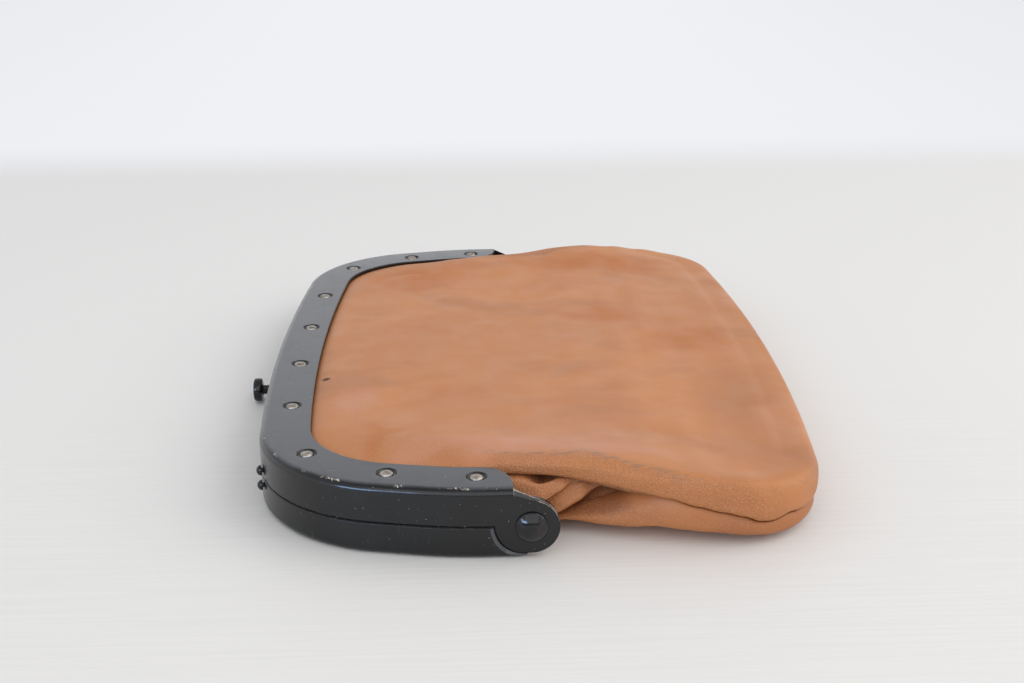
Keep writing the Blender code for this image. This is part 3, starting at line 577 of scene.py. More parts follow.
@dataclass(frozen=True)
class ChippedEnamel:
    """Stoved black enamel on pressed steel, chipped to a pale primer where it was knocked."""

    recess_at: Place
    enamel: str = "#0B0C0E"
    faded: str = "#151618"
    # Paler tone of dust on the up-facing faces, also used as painted sheen and as a painted highlight on the
    # recess's bevel
    dust_and_sheen: str = "#494B50"
    primer: str = "#D2C8BB"
    steel: str = "#7C736C"
    scratch: str = "#8F8D8B"
    chip_mm: float = 0.4
    cluster_mm: float = 5.0
    fleck_mm: float = 0.3
    edge_mm: float = 0.2
    peel_mm: float = 1.3
    coat_mm: float = 0.03
    recess_band: Row = (4.7 * MM, 5.35 * MM)

    def make(self) -> bpy.types.Material:
        """Return the finish of the frame's halves.

        Returns:
            The material.
        """
        # Stoved enamel: near black and satin, with a rubbed haze and a painted sheen on top, and cream chips
        # on its edges
        recipe = Recipe("stoved_black_enamel")
        add, grain, streaks = recipe.add, recipe.grain, recipe.streaks
        # The sharp edges are where the rounded normal leaves the flat one
        rounded = add(Kind.ROUNDED_NORMAL, self.edge_mm * MM)
        edge = add(Kind.BAND, add(Kind.DOT, rounded, add(Kind.FACE_NORMAL)), 0.995, 0.93)
        # Knocks come in clusters of ragged chips, with a few loose flecks beside them
        names = PressedHalf.stored_values
        wear, knock, ridge, bared = (add(Kind.STORED, attribute_name=name) for name in names)
        clusters = add(Kind.BAND, grain(self.cluster_mm, 2.0, 0.6), 0.45, 0.62, 0.15, 1.0)
        worn = (edge | ridge) * (wear * clusters | knock)
        ragged = grain(self.chip_mm, 4.0, 0.65, 0.8)
        chips = add(Kind.BAND, ragged + worn * 0.31, 0.78, 0.81)
        flecks = add(Kind.BAND, grain(self.fleck_mm, 1.0, 0.5) + wear * 0.02, 0.79, 0.81)
        bare = chips | flecks | add(Kind.BAND, (edge * bared | bared - 1.0) + ragged * 0.5, 0.65, 0.95)
        # Hairline scratches: along the flange on top, up and down on the walls
        upward = add(Kind.Z, add(Kind.OBJECT_NORMAL))
        on_top = add(Kind.BAND, streaks((3.2, 0.16, 3.0)), 0.69, 0.73) * add(Kind.BAND, upward, 0.6, 0.9)
        on_walls = add(Kind.BAND, streaks((0.16, 0.6, 1.8)), 0.72, 0.76)
        scratches = on_top | on_walls * (0.6 - add(Kind.BAND, upward, 0.6, 0.9))
        # Hands and grit leave a dull haze on the faces that look up when the pouch lies closed; it is also a
        # painted sheen for their grazing reflection, and a painted highlight on the recess's bevel
        dust_and_sheen_haze = add(Kind.BAND, upward + grain(7.0, 4.0, 0.6) * 0.3, 0.95, 1.15) | self.recess_bevel_highlight(recipe)
        paint = add(Kind.BLEND, add(Kind.BAND, grain(9.0, 4.0, 0.6), 0.35, 0.75), self.enamel, self.faded)
        paint = add(Kind.BLEND, dust_and_sheen_haze, paint, self.dust_and_sheen)
        paint = add(Kind.BLEND, scratches * 0.55, paint, self.scratch)
        under = add(Kind.BLEND, add(Kind.BAND, grain(0.9, 2.0), 0.45, 0.62), self.primer, self.steel)
        rough = add(Kind.BAND, grain(3.5, 5.0, 0.65), 0.3, 0.8, 0.15, 0.3) | bare * 0.7
        peel = add(Kind.RELIEF, grain(self.peel_mm, 1.0), 0.004 * MM, rounded)
        return recipe.connect(Base_Color=add(Kind.BLEND, bare, paint, under), Roughness=rough, IOR=1.5,
                              Normal=add(Kind.RELIEF, 1.0 - bare, self.coat_mm * MM, peel))

    def recess_bevel_highlight(self, recipe: Recipe) -> Signal:
        """Return where a painted highlight pales the recess that the outer ear turns in.

        Args:
            recipe: The enamel's node tree.

        Returns:
            1 on the lower left part of the recess's bevel and 0 elsewhere.
        """
        add = recipe.add
        spoke = add(Kind.OFFSET, recipe.place, self.recess_at)
        radius = add(Kind.LENGTH, add(Kind.FLATTENED, spoke, (1.0, 0.0, 1.0)))
        inner, outer = self.recess_band
        ring = (add(Kind.BAND, radius, inner - 0.05 * MM, inner + 0.05 * MM)
                * add(Kind.BAND, radius, outer, outer - 0.15 * MM))
        return (ring * add(Kind.BAND, add(Kind.X, spoke), 0.8 * MM, 0.2 * MM)
                * add(Kind.BAND, add(Kind.Z, spoke), -0.15 * MM, -0.5 * MM))


@dataclass(frozen=True)
class AgedRivetSteel:
    """Nickel-plated steel of the flange rivets, gone dull and warm."""

    plate: str = "#BDB6AD"
    tarnish: str = "#7B6F68"

    def make(self) -> bpy.types.Material:
        """Return the finish of the flange rivets.

        Returns:
            The material.
        """
        # Worn nickel plate: a soft metal gleam, with brownish tarnish in patches
        recipe = Recipe("aged_nickel_plate")
        patches = recipe.add(Kind.BAND, recipe.grain(0.8, 4.0, 0.6), 0.35, 0.7)
        rough = recipe.add(Kind.BAND, recipe.grain(0.35, 3.0), 0.2, 0.8, 0.28, 0.55)
        return recipe.connect(Base_Color=recipe.add(Kind.BLEND, patches, self.plate, self.tarnish),
                              Roughness=rough, Metallic=1.0,
                              Normal=recipe.add(Kind.RELIEF, recipe.grain(0.3, 2.0), 0.012 * MM))


@dataclass(frozen=True)
class BlackenedSteel:
    """Oil-blackened steel of the hinge rivets, the studs and the knob."""

    black: str = "#17181B"
    brown: str = "#2A2624"

    def make(self) -> bpy.types.Material:
        """Return the finish of the blackened hardware.

        Returns:
            The material.
        """
        # Oil-blackened steel polished by touch: black, with a clear and slightly broken highlight
        recipe = Recipe("oil_blackened_steel")
        patches = recipe.add(Kind.BAND, recipe.grain(1.4, 3.0), 0.4, 0.7)
        rough = recipe.add(Kind.BAND, recipe.grain(0.9, 4.0, 0.6), 0.3, 0.75, 0.07, 0.18)
        return recipe.connect(Base_Color=recipe.add(Kind.BLEND, patches, self.black, self.brown),
                              Roughness=rough, Metallic=0.2,
                              Normal=recipe.add(Kind.RELIEF, recipe.grain(0.9, 2.0), 0.005 * MM))


@dataclass(frozen=True)
class RolledSteel:
    """Rolled steel strip of the springs, and in darker colours of the backing strips."""

    name: str = "rolled_spring_steel"
    light: str = "#8C8D90"
    dark: str = "#5E5F62"

    def make(self) -> bpy.types.Material:
        """Return the finish of the steel strips.

        Returns:
            The material.
        """
        # Cold-rolled strip: grey metal with fine rolling lines along it
        recipe = Recipe(self.name)
        lines = recipe.streaks((4.0, 6.0, 0.12), 3.0)
        color = recipe.add(Kind.BLEND, recipe.add(Kind.BAND, lines, 0.3, 0.7), self.dark, self.light)
        rough = recipe.add(Kind.BAND, recipe.grain(1.5, 3.0), 0.3, 0.7, 0.3, 0.48)
        return recipe.connect(Base_Color=color, Roughness=rough, Metallic=1.0,
                              Normal=recipe.add(Kind.RELIEF, lines, 0.004 * MM))


@dataclass(frozen=True)
class TanLeather:
    """Vegetable-tanned hide, worn smooth on top, dry and open-grained round the folds."""

    base: str = "#BF7D4B"
    warm: str = "#C6814B"
    deep: str = "#9F6239"
    orange: str = "#B96D2E"
    pale: str = "#C58561"
    speck: str = "#CF9C70"
    grey: str = "#756A62"
    stain: str = "#1E0E08"
    flesh: str = "#A97B55"
    cloud_mm: float = 30.0
    grain_mm: float = 0.32
    pore_mm: float = 0.2
    speck_mm: float = 0.25
    stain_at: Place = (-34.6 * MM, -19.0 * MM, 11.6 * MM)
    stain_radii: Row = (1.7 * MM, 0.9 * MM)

    def make(self) -> bpy.types.Material:
        """Return the finish of the bag.

        Returns:
            The material.
        """
        # Vegetable-tanned hide: cognac brown and mottled, with greyed folds and a fine pebbled grain
        recipe = Recipe("vegetable_tanned_leather")
        add, grain, streaks = recipe.add, recipe.grain, recipe.streaks
        names = LeatherBag.stored_values
        fold, tone, shade, dry, flesh = (add(Kind.STORED, attribute_name=name) for name in names)
        # The hide takes its colour unevenly, in soft clouds a few centimetres across
        clouds = add(Kind.BAND, grain(self.cloud_mm, 3.0, 0.5, 0.2), 0.38, 0.64)
        color = add(Kind.BLEND, clouds, self.base, self.warm)
        # The stored shade is painted shade: under the front panel's rolled sides, in the hollow under the
        # pleats and deep in the gussets
        patches = add(Kind.BAND, streaks((22.0, 14.0, 14.0), 3.0), 0.5, 0.75, 0.0, 0.45) | shade
        color = add(Kind.BLEND, patches, color, self.deep)
        # Handled places went orange with oil and rubbed ones pale, with soft edges that the noise breaks up;
        # the pale band on the near fold's crest is a painted highlight, and the gussets' pale tone is painted
        # light on their pleats
        tone = tone + (grain(11.0, 3.0) - 0.5) * 0.5
        color = add(Kind.BLEND, add(Kind.BAND, tone, 0.05, 1.0), color, self.orange)
        color = add(Kind.BLEND, add(Kind.BAND, tone, -0.05, -1.0), color, self.pale)
        # Rubbed folds lose their dye and pick up grey dirt in broken streaks
        scuff = fold * add(Kind.BAND, streaks((2.2, 0.6, 0.8), 6.0), 0.42, 0.62)
        color = add(Kind.BLEND, scuff * 0.75, color, self.grey)
        # One dark drop has soaked in near the mouth
        spot = add(Kind.DISTANCE, recipe.place, self.stain_at) + grain(1.2, 3.0) * (1.2 * MM)
        stained = add(Kind.BAND, spot, *self.stain_radii, 0.0, 0.9)
        color = add(Kind.BLEND, stained, color, self.stain)
        # Dry hide shows its pebbled grain and pale specks
        pebble = add(Kind.BAND, add(Kind.CELLS, recipe.place, 1.0 / (self.grain_mm * MM)), 0.15, 0.75)
        color = add(Kind.BLEND, pebble * add(Kind.BAND, dry, 0.0, 1.0, 0.03, 0.42), color, self.deep)
        specks = add(Kind.BAND, grain(self.speck_mm, 1.0), 0.52, 0.7)
        color = add(Kind.BLEND, specks * add(Kind.BAND, dry, 0.0, 1.0, 0.0, 0.42), color, self.speck)
        # The inside is the hide's flesh side: paler, fibrous and without any gloss
        fibres = add(Kind.BAND, streaks((1.6, 0.5, 0.9), 4.0), 0.3, 0.7)
        color = add(Kind.BLEND, flesh, color, add(Kind.BLEND, fibres, self.flesh, self.deep))
        # The top is burnished by the hand and the folds stay dry, so the gloss follows the wear
        rough = add(Kind.BAND, grain(6.0, 3.0), 0.3, 0.7, 0.42, 0.54) + dry * 0.12
        rough = rough + stained * 0.3 + flesh * 0.35
        open_grain = add(Kind.BAND, dry, 0.0, 1.0, 0.12, 1.0)
        broad = add(Kind.RELIEF, streaks((12.0, 7.0, 7.0), 3.0), 0.1 * MM)
        fine = add(Kind.RELIEF, grain(self.pore_mm, 2.0) * open_grain, 0.06 * MM, broad)
        cut = add(Kind.RELIEF, (1.0 - pebble) * open_grain, 0.07 * MM, fine)
        return recipe.connect(Base_Color=color, Roughness=rough, Normal=cut, IOR=1.5)


@dataclass
class Finishes:
    """Every finish of the pouch, made once."""

    enamel: bpy.types.Material
    rivet: bpy.types.Material = field(default_factory=AgedRivetSteel().make)
    blackened: bpy.types.Material = field(default_factory=BlackenedSteel().make)
    spring: bpy.types.Material = field(default_factory=RolledSteel().make)
    strip: bpy.types.Material = field(
        default_factory=RolledSteel("rolled_backing_steel", "#6E6F72", "#4A4A4D").make)
    leather: bpy.types.Material = field(default_factory=TanLeather().make)


def place_piece(piece: bpy.types.Object, finish: bpy.types.Material, slot: str, body: Body,
                *nodes: str) -> None:
    """Dress a piece, let it ride on its body and stand for its solids.

    Args:
        piece: The new piece.
        finish: Its material.
        slot: Material slot of the record that it belongs to; not used.
        body: Body that carries it.
        *nodes: Solids that it replaces.
    """
    piece.data.materials.clear()
    piece.data.materials.append(finish)
    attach(piece, body.value)
    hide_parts(*nodes)
    LOG.info("%s rides on %s", piece.name, body.value)


@dataclass
class PressedHalf:
    """One pressed sheet-steel half of the clasp frame: wall, rounded edge, flange and ears."""

    outline: FrameOutline
    half: Half
    sheet: float = 0.8 * MM
    upper_height: float = 6.2 * MM
    lower_height: float = 5.3 * MM
    outer_fillet: float = 1.35 * MM
    inner_fillet: float = 0.55 * MM
    rim_round: float = 0.12 * MM
    flange_end: float = 2.7 * MM
    flange_end_round: float = 4.6 * MM
    tail_end: float = 0.5 * MM
    tail_cut: tuple[Row, Row] = ((-2.2 * MM, 0.0), (0.1 * MM, 1.08 * MM))
    ear_radius: float = 4.4 * MM
    ear_shift: float = 1.1 * MM
    mating_gap: float = 0.3 * MM
    shoulder_drop: float = 0.21 * MM
    inner_ear_inset: float = 1.1 * MM
    recess_gap: float = 0.3 * MM
    recess_bevel: float = 0.65 * MM
    bevel_depth: float = 0.35 * MM
    rivet_inset: float = 5.1 * MM
    end_rivet_runs: Row = (8.5 * MM, 23.6 * MM)
    corner_rivet_share: float = 0.57
    mouth_rivets: Row = (10.8 * MM, 32.4 * MM)
    stem_height: float = 2.5 * MM
    seam_overlap: float = 0.05 * MM
    overrun: float = 0.6 * MM
    knocks: tuple[Row, ...] = (
        (-62.6, 0.9), (-68.2, 2.7), (-77.4, 0.6), (-79.8, 1.3), (-86.2, 0.4), (-87.9, 0.6), (-89.3, 0.4),
        (-90.6, 0.5), (-54.0, 1.0), (-46.5, 0.8), (-31.0, 0.6), (38.0, 1.2), (61.0, 2.2), (76.0, 1.0))
    ridge_turn: float = 66.0
    ridge_spread: float = 22.0
    shell_pitch: float = 0.7 * MM
    line_steps: ClassVar[int] = 1100
    stored_values: ClassVar[tuple[str, ...]] = ("wear", "knock", "ridge", "bare")
    line: np.ndarray = field(init=False)

    def __post_init__(self) -> None:
        """Lay out the plan line that wear is measured from, as rows of length, X and Y."""
        reach = self.outline.middle_run() + 6 * MM
        stations = [(along, self.outline.station(along)) for along in spread(-reach, reach, self.line_steps)]
        self.line = np.array([(along, s.x, s.y) for along, s in stations])

    @property
    def upper(self) -> bool:
        """Tell whether this is the upper half."""
        return self.half is Half.UPPER

    @property
    def body(self) -> Body:
        """Return the body that carries this half."""
        return Body.UPPER if self.upper else Body.LOWER

    def height(self, depth: float) -> float:
        """Return the height at a depth below the half's outer flange face."""
        return self.outline.total_height - depth if self.upper else depth

    def width(self, run: float) -> float:
        """Return the flange's width, rounded off towards the hinge.

        Args:
            run: Length along the outer face from the hinge axis.

        Returns:
            The width.
        """
        narrow = self.outer_fillet + 0.4 * MM
        left = min(max((self.flange_end + self.flange_end_round - run) / self.flange_end_round, 0.0), 1.0)
        return narrow + (self.outline.flange_width - narrow) * math.sqrt(1 - left * left)

    def section(self, run: float) -> list[Row]:
        """Return the L section at a run from the hinge axis, as inset and height.

        Args:
            run: Length along the outer face from the hinge axis.

        Returns:
            The section's corners, in order.
        """
        foot = self.upper_height if self.upper else self.lower_height
        width, rim = self.width(run), self.rim_round
        corner = self.sheet + self.inner_fillet
        points = [(rim, foot), (0.0, foot - rim)]
        points += arc((self.outer_fillet, self.outer_fillet), self.outer_fillet, 180, 270, 12)
        points += [(width - rim, 0.0), (width, rim), (width, self.sheet)]
        points += arc((corner, corner), self.inner_fillet, 270, 180, 5) + [(self.sheet, foot)]
        return [(inset, self.height(depth)) for inset, depth in points]

    def shell(self) -> bpy.types.Object:
        """Return the swept wall and flange.

        Returns:
            The wall and flange as one object.
        """
        start = self.flange_end if self.upper else self.tail_end
        rounded = [self.flange_end + self.flange_end_round * (1 - math.cos(a))
                   for a in spread(0.0, math.pi / 2, 14)]
        loft, rings = Loft(), []
        end_runs = sorted({start, *[run for run in rounded if run > start]})
        for along in self.outline.alongs(end_runs, self.shell_pitch):
            station = self.outline.station(along)
            run = self.outline.middle_run() - abs(along)
            rings.append([station.at(inset, z) for inset, z in self.section(run)])
        loft.body(rings)
        return loft.finish(self.half.value + "_shell")

    def plates(self, name: str, shapes: Sequence[Sequence[Row]], ys: Sequence[float]) -> bpy.types.Object:
        """Return a body on each side across Y, from an outline about the hinge axis at each Y.

        Args:
            name: The object's name.
            shapes: Outline at each Y.
            ys: Distances from the pouch's middle plane, in order.

        Returns:
            Both bodies as one object.
        """
        loft = Loft()
        for side in (-1, 1):
            loft.body([[Vector((self.outline.hinge_x + dx, side * y, self.outline.axis_z + dz))
                        for dx, dz in shape] for shape, y in zip(shapes, ys)])
        return loft.finish(name)

    def upper_ears(self) -> bpy.types.Object:
        """Return the outer ears, whose shoulders follow the flange's rounded edge.

        Returns:
            Both ears as one object.
        """
        round_off, shapes, ys = self.outer_fillet, [], []
        for inset in [self.sheet, 0.55 * MM, 0.32 * MM, 0.16 * MM, 0.06 * MM, 0.0]:
            drop = round_off - math.sqrt(round_off ** 2 - (round_off - inset) ** 2)
            shapes.append(self.upper_ear(max(drop, self.shoulder_drop)))
            ys.append(self.outline.ear_half_width - inset)
        return self.plates("ears", shapes, ys)

    def upper_ear(self, drop: float) -> list[Row]:
        """Return the outer ear's outline, with a shoulder that starts at a drop below the flange's face.

        Args:
            drop: How far the shoulder starts below the flange's face.

        Returns:
            The outline, as pairs about the hinge axis.
        """
        shoulder = self.upper_height + self.mating_gap / 2 - drop
        reach = math.hypot(self.flange_end, shoulder)
        touch = math.degrees(math.atan2(shoulder, -self.flange_end) - math.acos(self.ear_radius / reach))
        left, join = -self.ear_shift - self.ear_radius, -self.flange_end - self.seam_overlap
        inside = self.upper_height + self.mating_gap / 2 - self.outer_fillet - self.inner_fillet
        points = [(left, self.mating_gap / 2 + self.seam_overlap)]
        points += arc((-self.ear_shift, 0.0), self.ear_radius, 180, 270, 20)
        points += arc((0.0, 0.0), self.ear_radius, 270, 360 + touch, 40)
        return points + [(join, shoulder), (join, inside), (left, inside)]

    @property
    def recess_end(self) -> float:
        """Return where the recess's bevel ends on the arm, from the hinge axis."""
        return -self.ear_shift - self.ear_radius - self.recess_gap - self.recess_bevel

    def lower_ear(self) -> list[Row]:
        """Return the inner ear's outline: a disc over a plate that runs down to the flange.

        Returns:
            The outline, as pairs about the hinge axis.
        """
        left, foot = self.recess_end - self.sheet, -self.outline.axis_z + self.sheet / 3
        top, radius = -self.mating_gap / 2, self.ear_radius - self.seam_overlap * 2
        closing = math.degrees(math.asin(top / radius))
        disc = arc((0.0, 0.0), radius, 262, 540 - closing, 48)
        return [(left, top), (left, foot), (self.tail_cut[0][0], foot)] + disc

    def joggle(self) -> list[Row]:
        """Return the step between the lower wall and its inner ear.

        Returns:
            The outline, as pairs about the hinge axis.
        """
        left, foot = self.recess_end - self.sheet / 2, -self.outline.axis_z + self.sheet / 2
        right, top = self.tail_cut[0][0], -self.mating_gap / 2 - self.seam_overlap
        return [(left, top), (left, foot), (right, foot), (right, top)]

    def recess(self) -> bpy.types.Object:
        """Return the bevelled recess that the outer ear turns in.

        Returns:
            The tool shape.
        """
        shapes, ys, slope = [], [], self.recess_bevel / self.bevel_depth
        for inset in (-self.overrun, self.bevel_depth, self.inner_ear_inset + self.seam_overlap):
            radius = self.ear_radius + self.recess_gap + slope * max(self.bevel_depth - inset, 0.0)
            behind = arc((-self.ear_shift, 0.0), radius, 90, 270, 48)
            shapes.append(behind + arc((0.0, 0.0), radius, 270, 450, 24))
            ys.append(self.outline.ear_half_width - inset)
        return self.plates("recess", shapes, ys)

    def tail_wedge(self) -> bpy.types.Object:
        """Return the wedges that trim the lower half's tails so that they rise from the table.

        Returns:
            The tool shape.
        """
        (low_x, low_z), (high_x, high_z) = self.tail_cut
        beyond, outer = 2 * MM, self.outline.ear_half_width
        slope = (high_z - low_z) / (high_x - low_x)
        shape = [(low_x - beyond, low_z - beyond * slope), (low_x - beyond, -2 * beyond),
                 (high_x + 2 * beyond, -2 * beyond), (high_x + 2 * beyond, high_z), (high_x, high_z)]
        shape = [(dx, z - self.outline.axis_z) for dx, z in shape]
        return self.plates("tail_wedge", [shape, shape], (outer - 4 * MM, outer + 1 * MM))

    def rivet_places(self) -> list[Matrix]:
        """Return frames on the flange's outer face, with Z out of it, from the near arm to the far one.

        Returns:
            The frames, in order.
        """
        stretches = self.outline.stretches()
        corner = sum(length for length, _turn in stretches[:3]) + stretches[3][0] * self.corner_rivet_share
        middle = self.outline.middle_run()
        far = [*[middle - run for run in (*self.end_rivet_runs, corner)], *self.mouth_rivets]
        turn = Matrix.Diagonal((1, 1, 1, 1) if self.upper else (1, -1, -1, 1))
        return [Matrix.Translation(self.outline.station(a).at(self.rivet_inset, self.height(0.0))) @ turn
                for a in sorted([-a for a in far] + far)]

    def dimples(self) -> bpy.types.Object:
        """Return the round-lipped dimples with their shank holes.

        Returns:
            The tool shape.
        """
        hole, floor, beyond = 0.62, -0.5, self.overrun / MM
        profile = [(0.0, -1.4), (hole, -1.4), (hole, floor), (1.2, floor), (1.38, -0.43), (1.52, -0.27),
                   (1.62, -0.1), (1.76, 0.02), (2.0, beyond), (0.0, beyond)]
        return turned_piece("dimples", profile, self.rivet_places(), 32)

    def stem_hole(self) -> bpy.types.Object:
        """Return the hole in the wall for the press knob's stem.

        Returns:
            The tool shape.
        """
        hole, beyond = 1.25, self.overrun / MM
        profile = [(0.0, -1.4), (hole, -1.4), (hole, beyond), (0.0, beyond)]
        return turned_piece("stem_hole", profile, [self.wall_frame(0.0, self.stem_height)], 40)

    def wall_frame(self, along: float, height: float) -> Matrix:
        """Return a frame on the outer face with Z pointing out of the wall.

        Args:
            along: Signed length from the mouth's middle.
            height: Height over the table.

        Returns:
            The frame.
        """
        station, up = self.outline.station(along), Vector((0, 0, 1))
        out = Vector((-station.nx, -station.ny, 0))
        turn = Matrix((up.cross(out), up, out)).transposed().to_4x4()
        return Matrix.Translation(station.at(0.0, height)) @ turn

    def wear(self, point: Vector) -> float:
        """Return how worn the enamel is at a point: most round the near corner and on the ears.

        Args:
            point: Place on the piece.

        Returns:
            The wear, 0.34 to 1.4.
        """
        near_corner = ramp(point.y, -30 * MM, -52 * MM) * ramp(point.x, -14 * MM, -30 * MM)
        ear = ramp(point.x, -6 * MM, 0.0) * ramp(point.z, self.outline.axis_z, self.outline.axis_z + 2.5 * MM)
        return (0.45 + 0.4 * near_corner + 0.55 * ear) * (1.0 if self.upper else 0.75)

    def knock(self, point: Vector) -> float:
        """Return 1 where the edge of the upper half has taken a knock.

        Args:
            point: Place on the piece.

        Returns:
            The strength of the nearest knock, 0 to 1.
        """
        if not self.upper:
            return 0.0
        along = self.nearest(point)[0] / MM
        return max(math.exp(-abs((along - place) / width) ** 3) for place, width in self.knocks)

    def ridge(self, point: Vector) -> float:
        """Return 1 high on the rounded outer edge of the flange and 0 a little away from it.

        Args:
            point: Place on the piece.

        Returns:
            The value, 0 to 1.
        """
        depth, inset = self.outline.total_height - point.z if self.upper else point.z, self.nearest(point)[1]
        if depth > self.outer_fillet or inset > self.outer_fillet * 1.4:
            return 0.0
        turned = math.degrees(math.acos(max(1 - inset / self.outer_fillet, 0.0)))
        return math.exp(-((turned - self.ridge_turn) / self.ridge_spread) ** 2)

    def bare(self, point: Vector) -> float:
        """Return how far the top edge of the outer ear is rubbed to bare metal.

        Args:
            point: Place on the piece.

        Returns:
            1 on the edge, more on the middle of its round, and 0 elsewhere.
        """
        inset = self.outline.ear_half_width - abs(point.y)
        if not self.upper or inset > self.sheet * 1.2:
            return 0.0
        across, up = point.x - self.outline.hinge_x, point.z - self.outline.axis_z
        far_out = math.hypot(across, up) > self.ear_radius - 0.1 * MM
        amount = ramp(up, 0.3 * MM, 1.6 * MM) * ramp(across, -3.0 * MM, -2.72 * MM) * float(far_out)
        return amount * (1.75 if 0.5 * MM < inset < 0.6 * MM else 1.0)

    def nearest(self, point: Vector) -> Row:
        """Return a point's place along the frame's outer face and its distance from it, in plan.

        Args:
            point: Place on the piece.

        Returns:
            The signed length along the face, and the distance.
        """
        gaps = ((self.line[:, 1:] - (point.x, point.y)) ** 2).sum(axis=1)
        best = int(gaps.argmin())
        return float(self.line[best, 0]), math.sqrt(float(gaps[best]))

    def build(self, finishes: Finishes) -> None:
        """Press, pierce and enamel the half, then rivet it.

        Args:
            finishes: The pouch's finishes.
        """
        piece, outer = self.shell(), self.outline.ear_half_width
        if self.upper:
            work(piece, self.upper_ears(), Operation.JOIN)
        else:
            inside = outer - self.inner_ear_inset
            ear, step = self.lower_ear(), self.joggle()
            work(piece, self.plates("ears", [ear, ear], (inside - self.sheet, inside)), Operation.JOIN)
            ends = (inside - self.sheet / 2, outer - self.sheet / 2)
            work(piece, self.plates("step", [step, step], ends), Operation.JOIN)
            for tool in (self.recess, self.tail_wedge, self.stem_hole):
                work(piece, tool(), Operation.CUT)
        work(piece, self.dimples(), Operation.CUT)
        shade(piece, 32.0)
        for name in self.stored_values:
            vertex_value(piece, name, getattr(self, name))
        piece.name = self.half.value + "_frame_pressing"
        place_piece(piece, finishes.enamel, "enamel", self.body, self.half.value + "_frame")
        self.rivets(finishes)

    def rivets(self, finishes: Finishes) -> None:
        """Set the flange rivets, each with a low flattened head and a clinched tail.

        Args:
            finishes: The pouch's finishes.
        """
        tail, end, shank, seat = -3.2, -3.7, 0.45, -0.47
        profile = [(0.0, end), (0.8, end), (0.95, end + 0.15), (0.95, tail), (shank, tail), (shank, seat),
                   (1.04, seat), (1.12, -0.4), (1.11, -0.26), (1.03, -0.11), (0.9, 0.01), (0.72, 0.1),
                   (0.52, 0.16), (0.34, 0.185), (0.22, 0.17), (0.12, 0.14), (0.0, 0.13)]
        for number, place in enumerate(self.rivet_places(), 1):
            turned = place @ Matrix.Rotation(number * 1.7, 4, "Z")
            rivet = turned_piece(f"{self.half.value}_rivet_head_{number}", profile, [turned], 28, 50.0)
            place_piece(rivet, finishes.rivet, "rivet_steel", self.body, f"{self.half.value}_rivet_{number}")


@dataclass
class HingeAndStuds:
    """Blackened hinge rivets and the two small studs that hold the spring strips."""

    press: PressedHalf
    stud_offset: float = 5.3 * MM
    stud_lift: float = 1.33 * MM

    def hinge_profile(self) -> list[Row]:
        """Return a hinge rivet: clinched tail, shank and a broad dome, faintly flattened by its punch.

        Returns:
            Radius and height pairs in millimetres.
        """
        gap, tail, shank = 0.12, -2.15, 1.0
        dome = ((2.46, 0.0), (2.53, 0.06), (2.53, 0.12), (2.47, 0.2), (2.3, 0.33), (2.05, 0.53),
                (1.8, 0.71), (1.55, 0.86), (1.3, 0.98), (1.05, 1.07), (0.8, 1.13), (0.55, 1.165),
                (0.3, 1.175), (0.0, 1.17))
        return [(0.0, tail - 0.6), (1.5, tail - 0.6), (1.7, tail - 0.4), (1.7, tail), (shank, tail),
                (shank, gap)] + [(radius, gap + rise) for radius, rise in dome]

    def stud_profile(self) -> list[Row]:
        """Return a stud: small clinched tail, shank and domed head.

        Returns:
            Radius and height pairs in millimetres.
        """
        tail, gap, shank, head = -1.45, 0.25, 0.4, 0.8
        dome = [(0.9 * math.cos(a), gap + head * math.sin(a)) for a in spread(0.06, 1.35, 8)]
        return [(0.0, tail - 0.3), (0.75, tail - 0.3), (0.75, tail), (shank, tail), (shank, gap),
                (0.88, gap), *dome, (0.0, gap + head)]

    def build(self, finishes: Finishes) -> None:
        """Set both hinge rivets and both studs.

        Args:
            finishes: The pouch's finishes.
        """
        outline = self.press.outline
        for name, side in SIDES:
            place = Matrix.Translation((outline.hinge_x, side * outline.ear_half_width, outline.axis_z))
            turn = Matrix.Rotation(-side * math.pi / 2, 4, "X")
            piece = turned_piece(f"hinge_rivet_dome_{name}", self.hinge_profile(), [place @ turn], 48, 40.0)
            place_piece(piece, finishes.blackened, "blackened_steel", Body.LOWER, f"hinge_rivet_{name}")
        along = -(outline.stretches()[-1][0] + self.stud_offset)
        for name, side, body in (("catch", 1, Body.UPPER), ("latch", -1, Body.LOWER)):
            place = self.press.wall_frame(along, outline.axis_z + side * self.stud_lift)
            piece = turned_piece(f"{name}_stud_dome", self.stud_profile(), [place], 32, 40.0)
            place_piece(piece, finishes.blackened, "blackened_steel", body, f"{name}_stud")


@dataclass
class PressKnob:
    """Knob at the middle of the mouth: a thick round-edged disc on a stem through the wall."""

    press: PressedHalf

    def profile(self) -> list[Row]:
        """Return the knob from its clinched neck to its slightly domed face.

        Returns:
            Radius and height pairs in millimetres.
        """
        tail, shoulder, neck, stem = -2.55, -2.0, 0.55, 0.9
        return [(0.0, tail - 0.3), (0.8, tail - 0.3), (stem, tail - 0.2), (stem, tail), (neck, tail),
                (neck, shoulder), (stem, shoulder), (stem, 3.5), (1.05, 3.8), (1.4, 3.9), (1.95, 3.92),
                (2.2, 4.05), (2.3, 4.3), (2.3, 5.1), (2.22, 5.32), (2.0, 5.46), (1.6, 5.52), (0.8, 5.58),
                (0.0, 5.6)]

    def build(self, finishes: Finishes) -> None:
        """Turn the knob and set it in the lower wall.

        Args:
            finishes: The pouch's finishes.
        """
        place = self.press.wall_frame(0.0, self.press.stem_height)
        piece = turned_piece("press_knob", self.profile(), [place], 48, 40.0)
        place_piece(piece, finishes.blackened, "blackened_steel", Body.CLASP, "clasp_button")


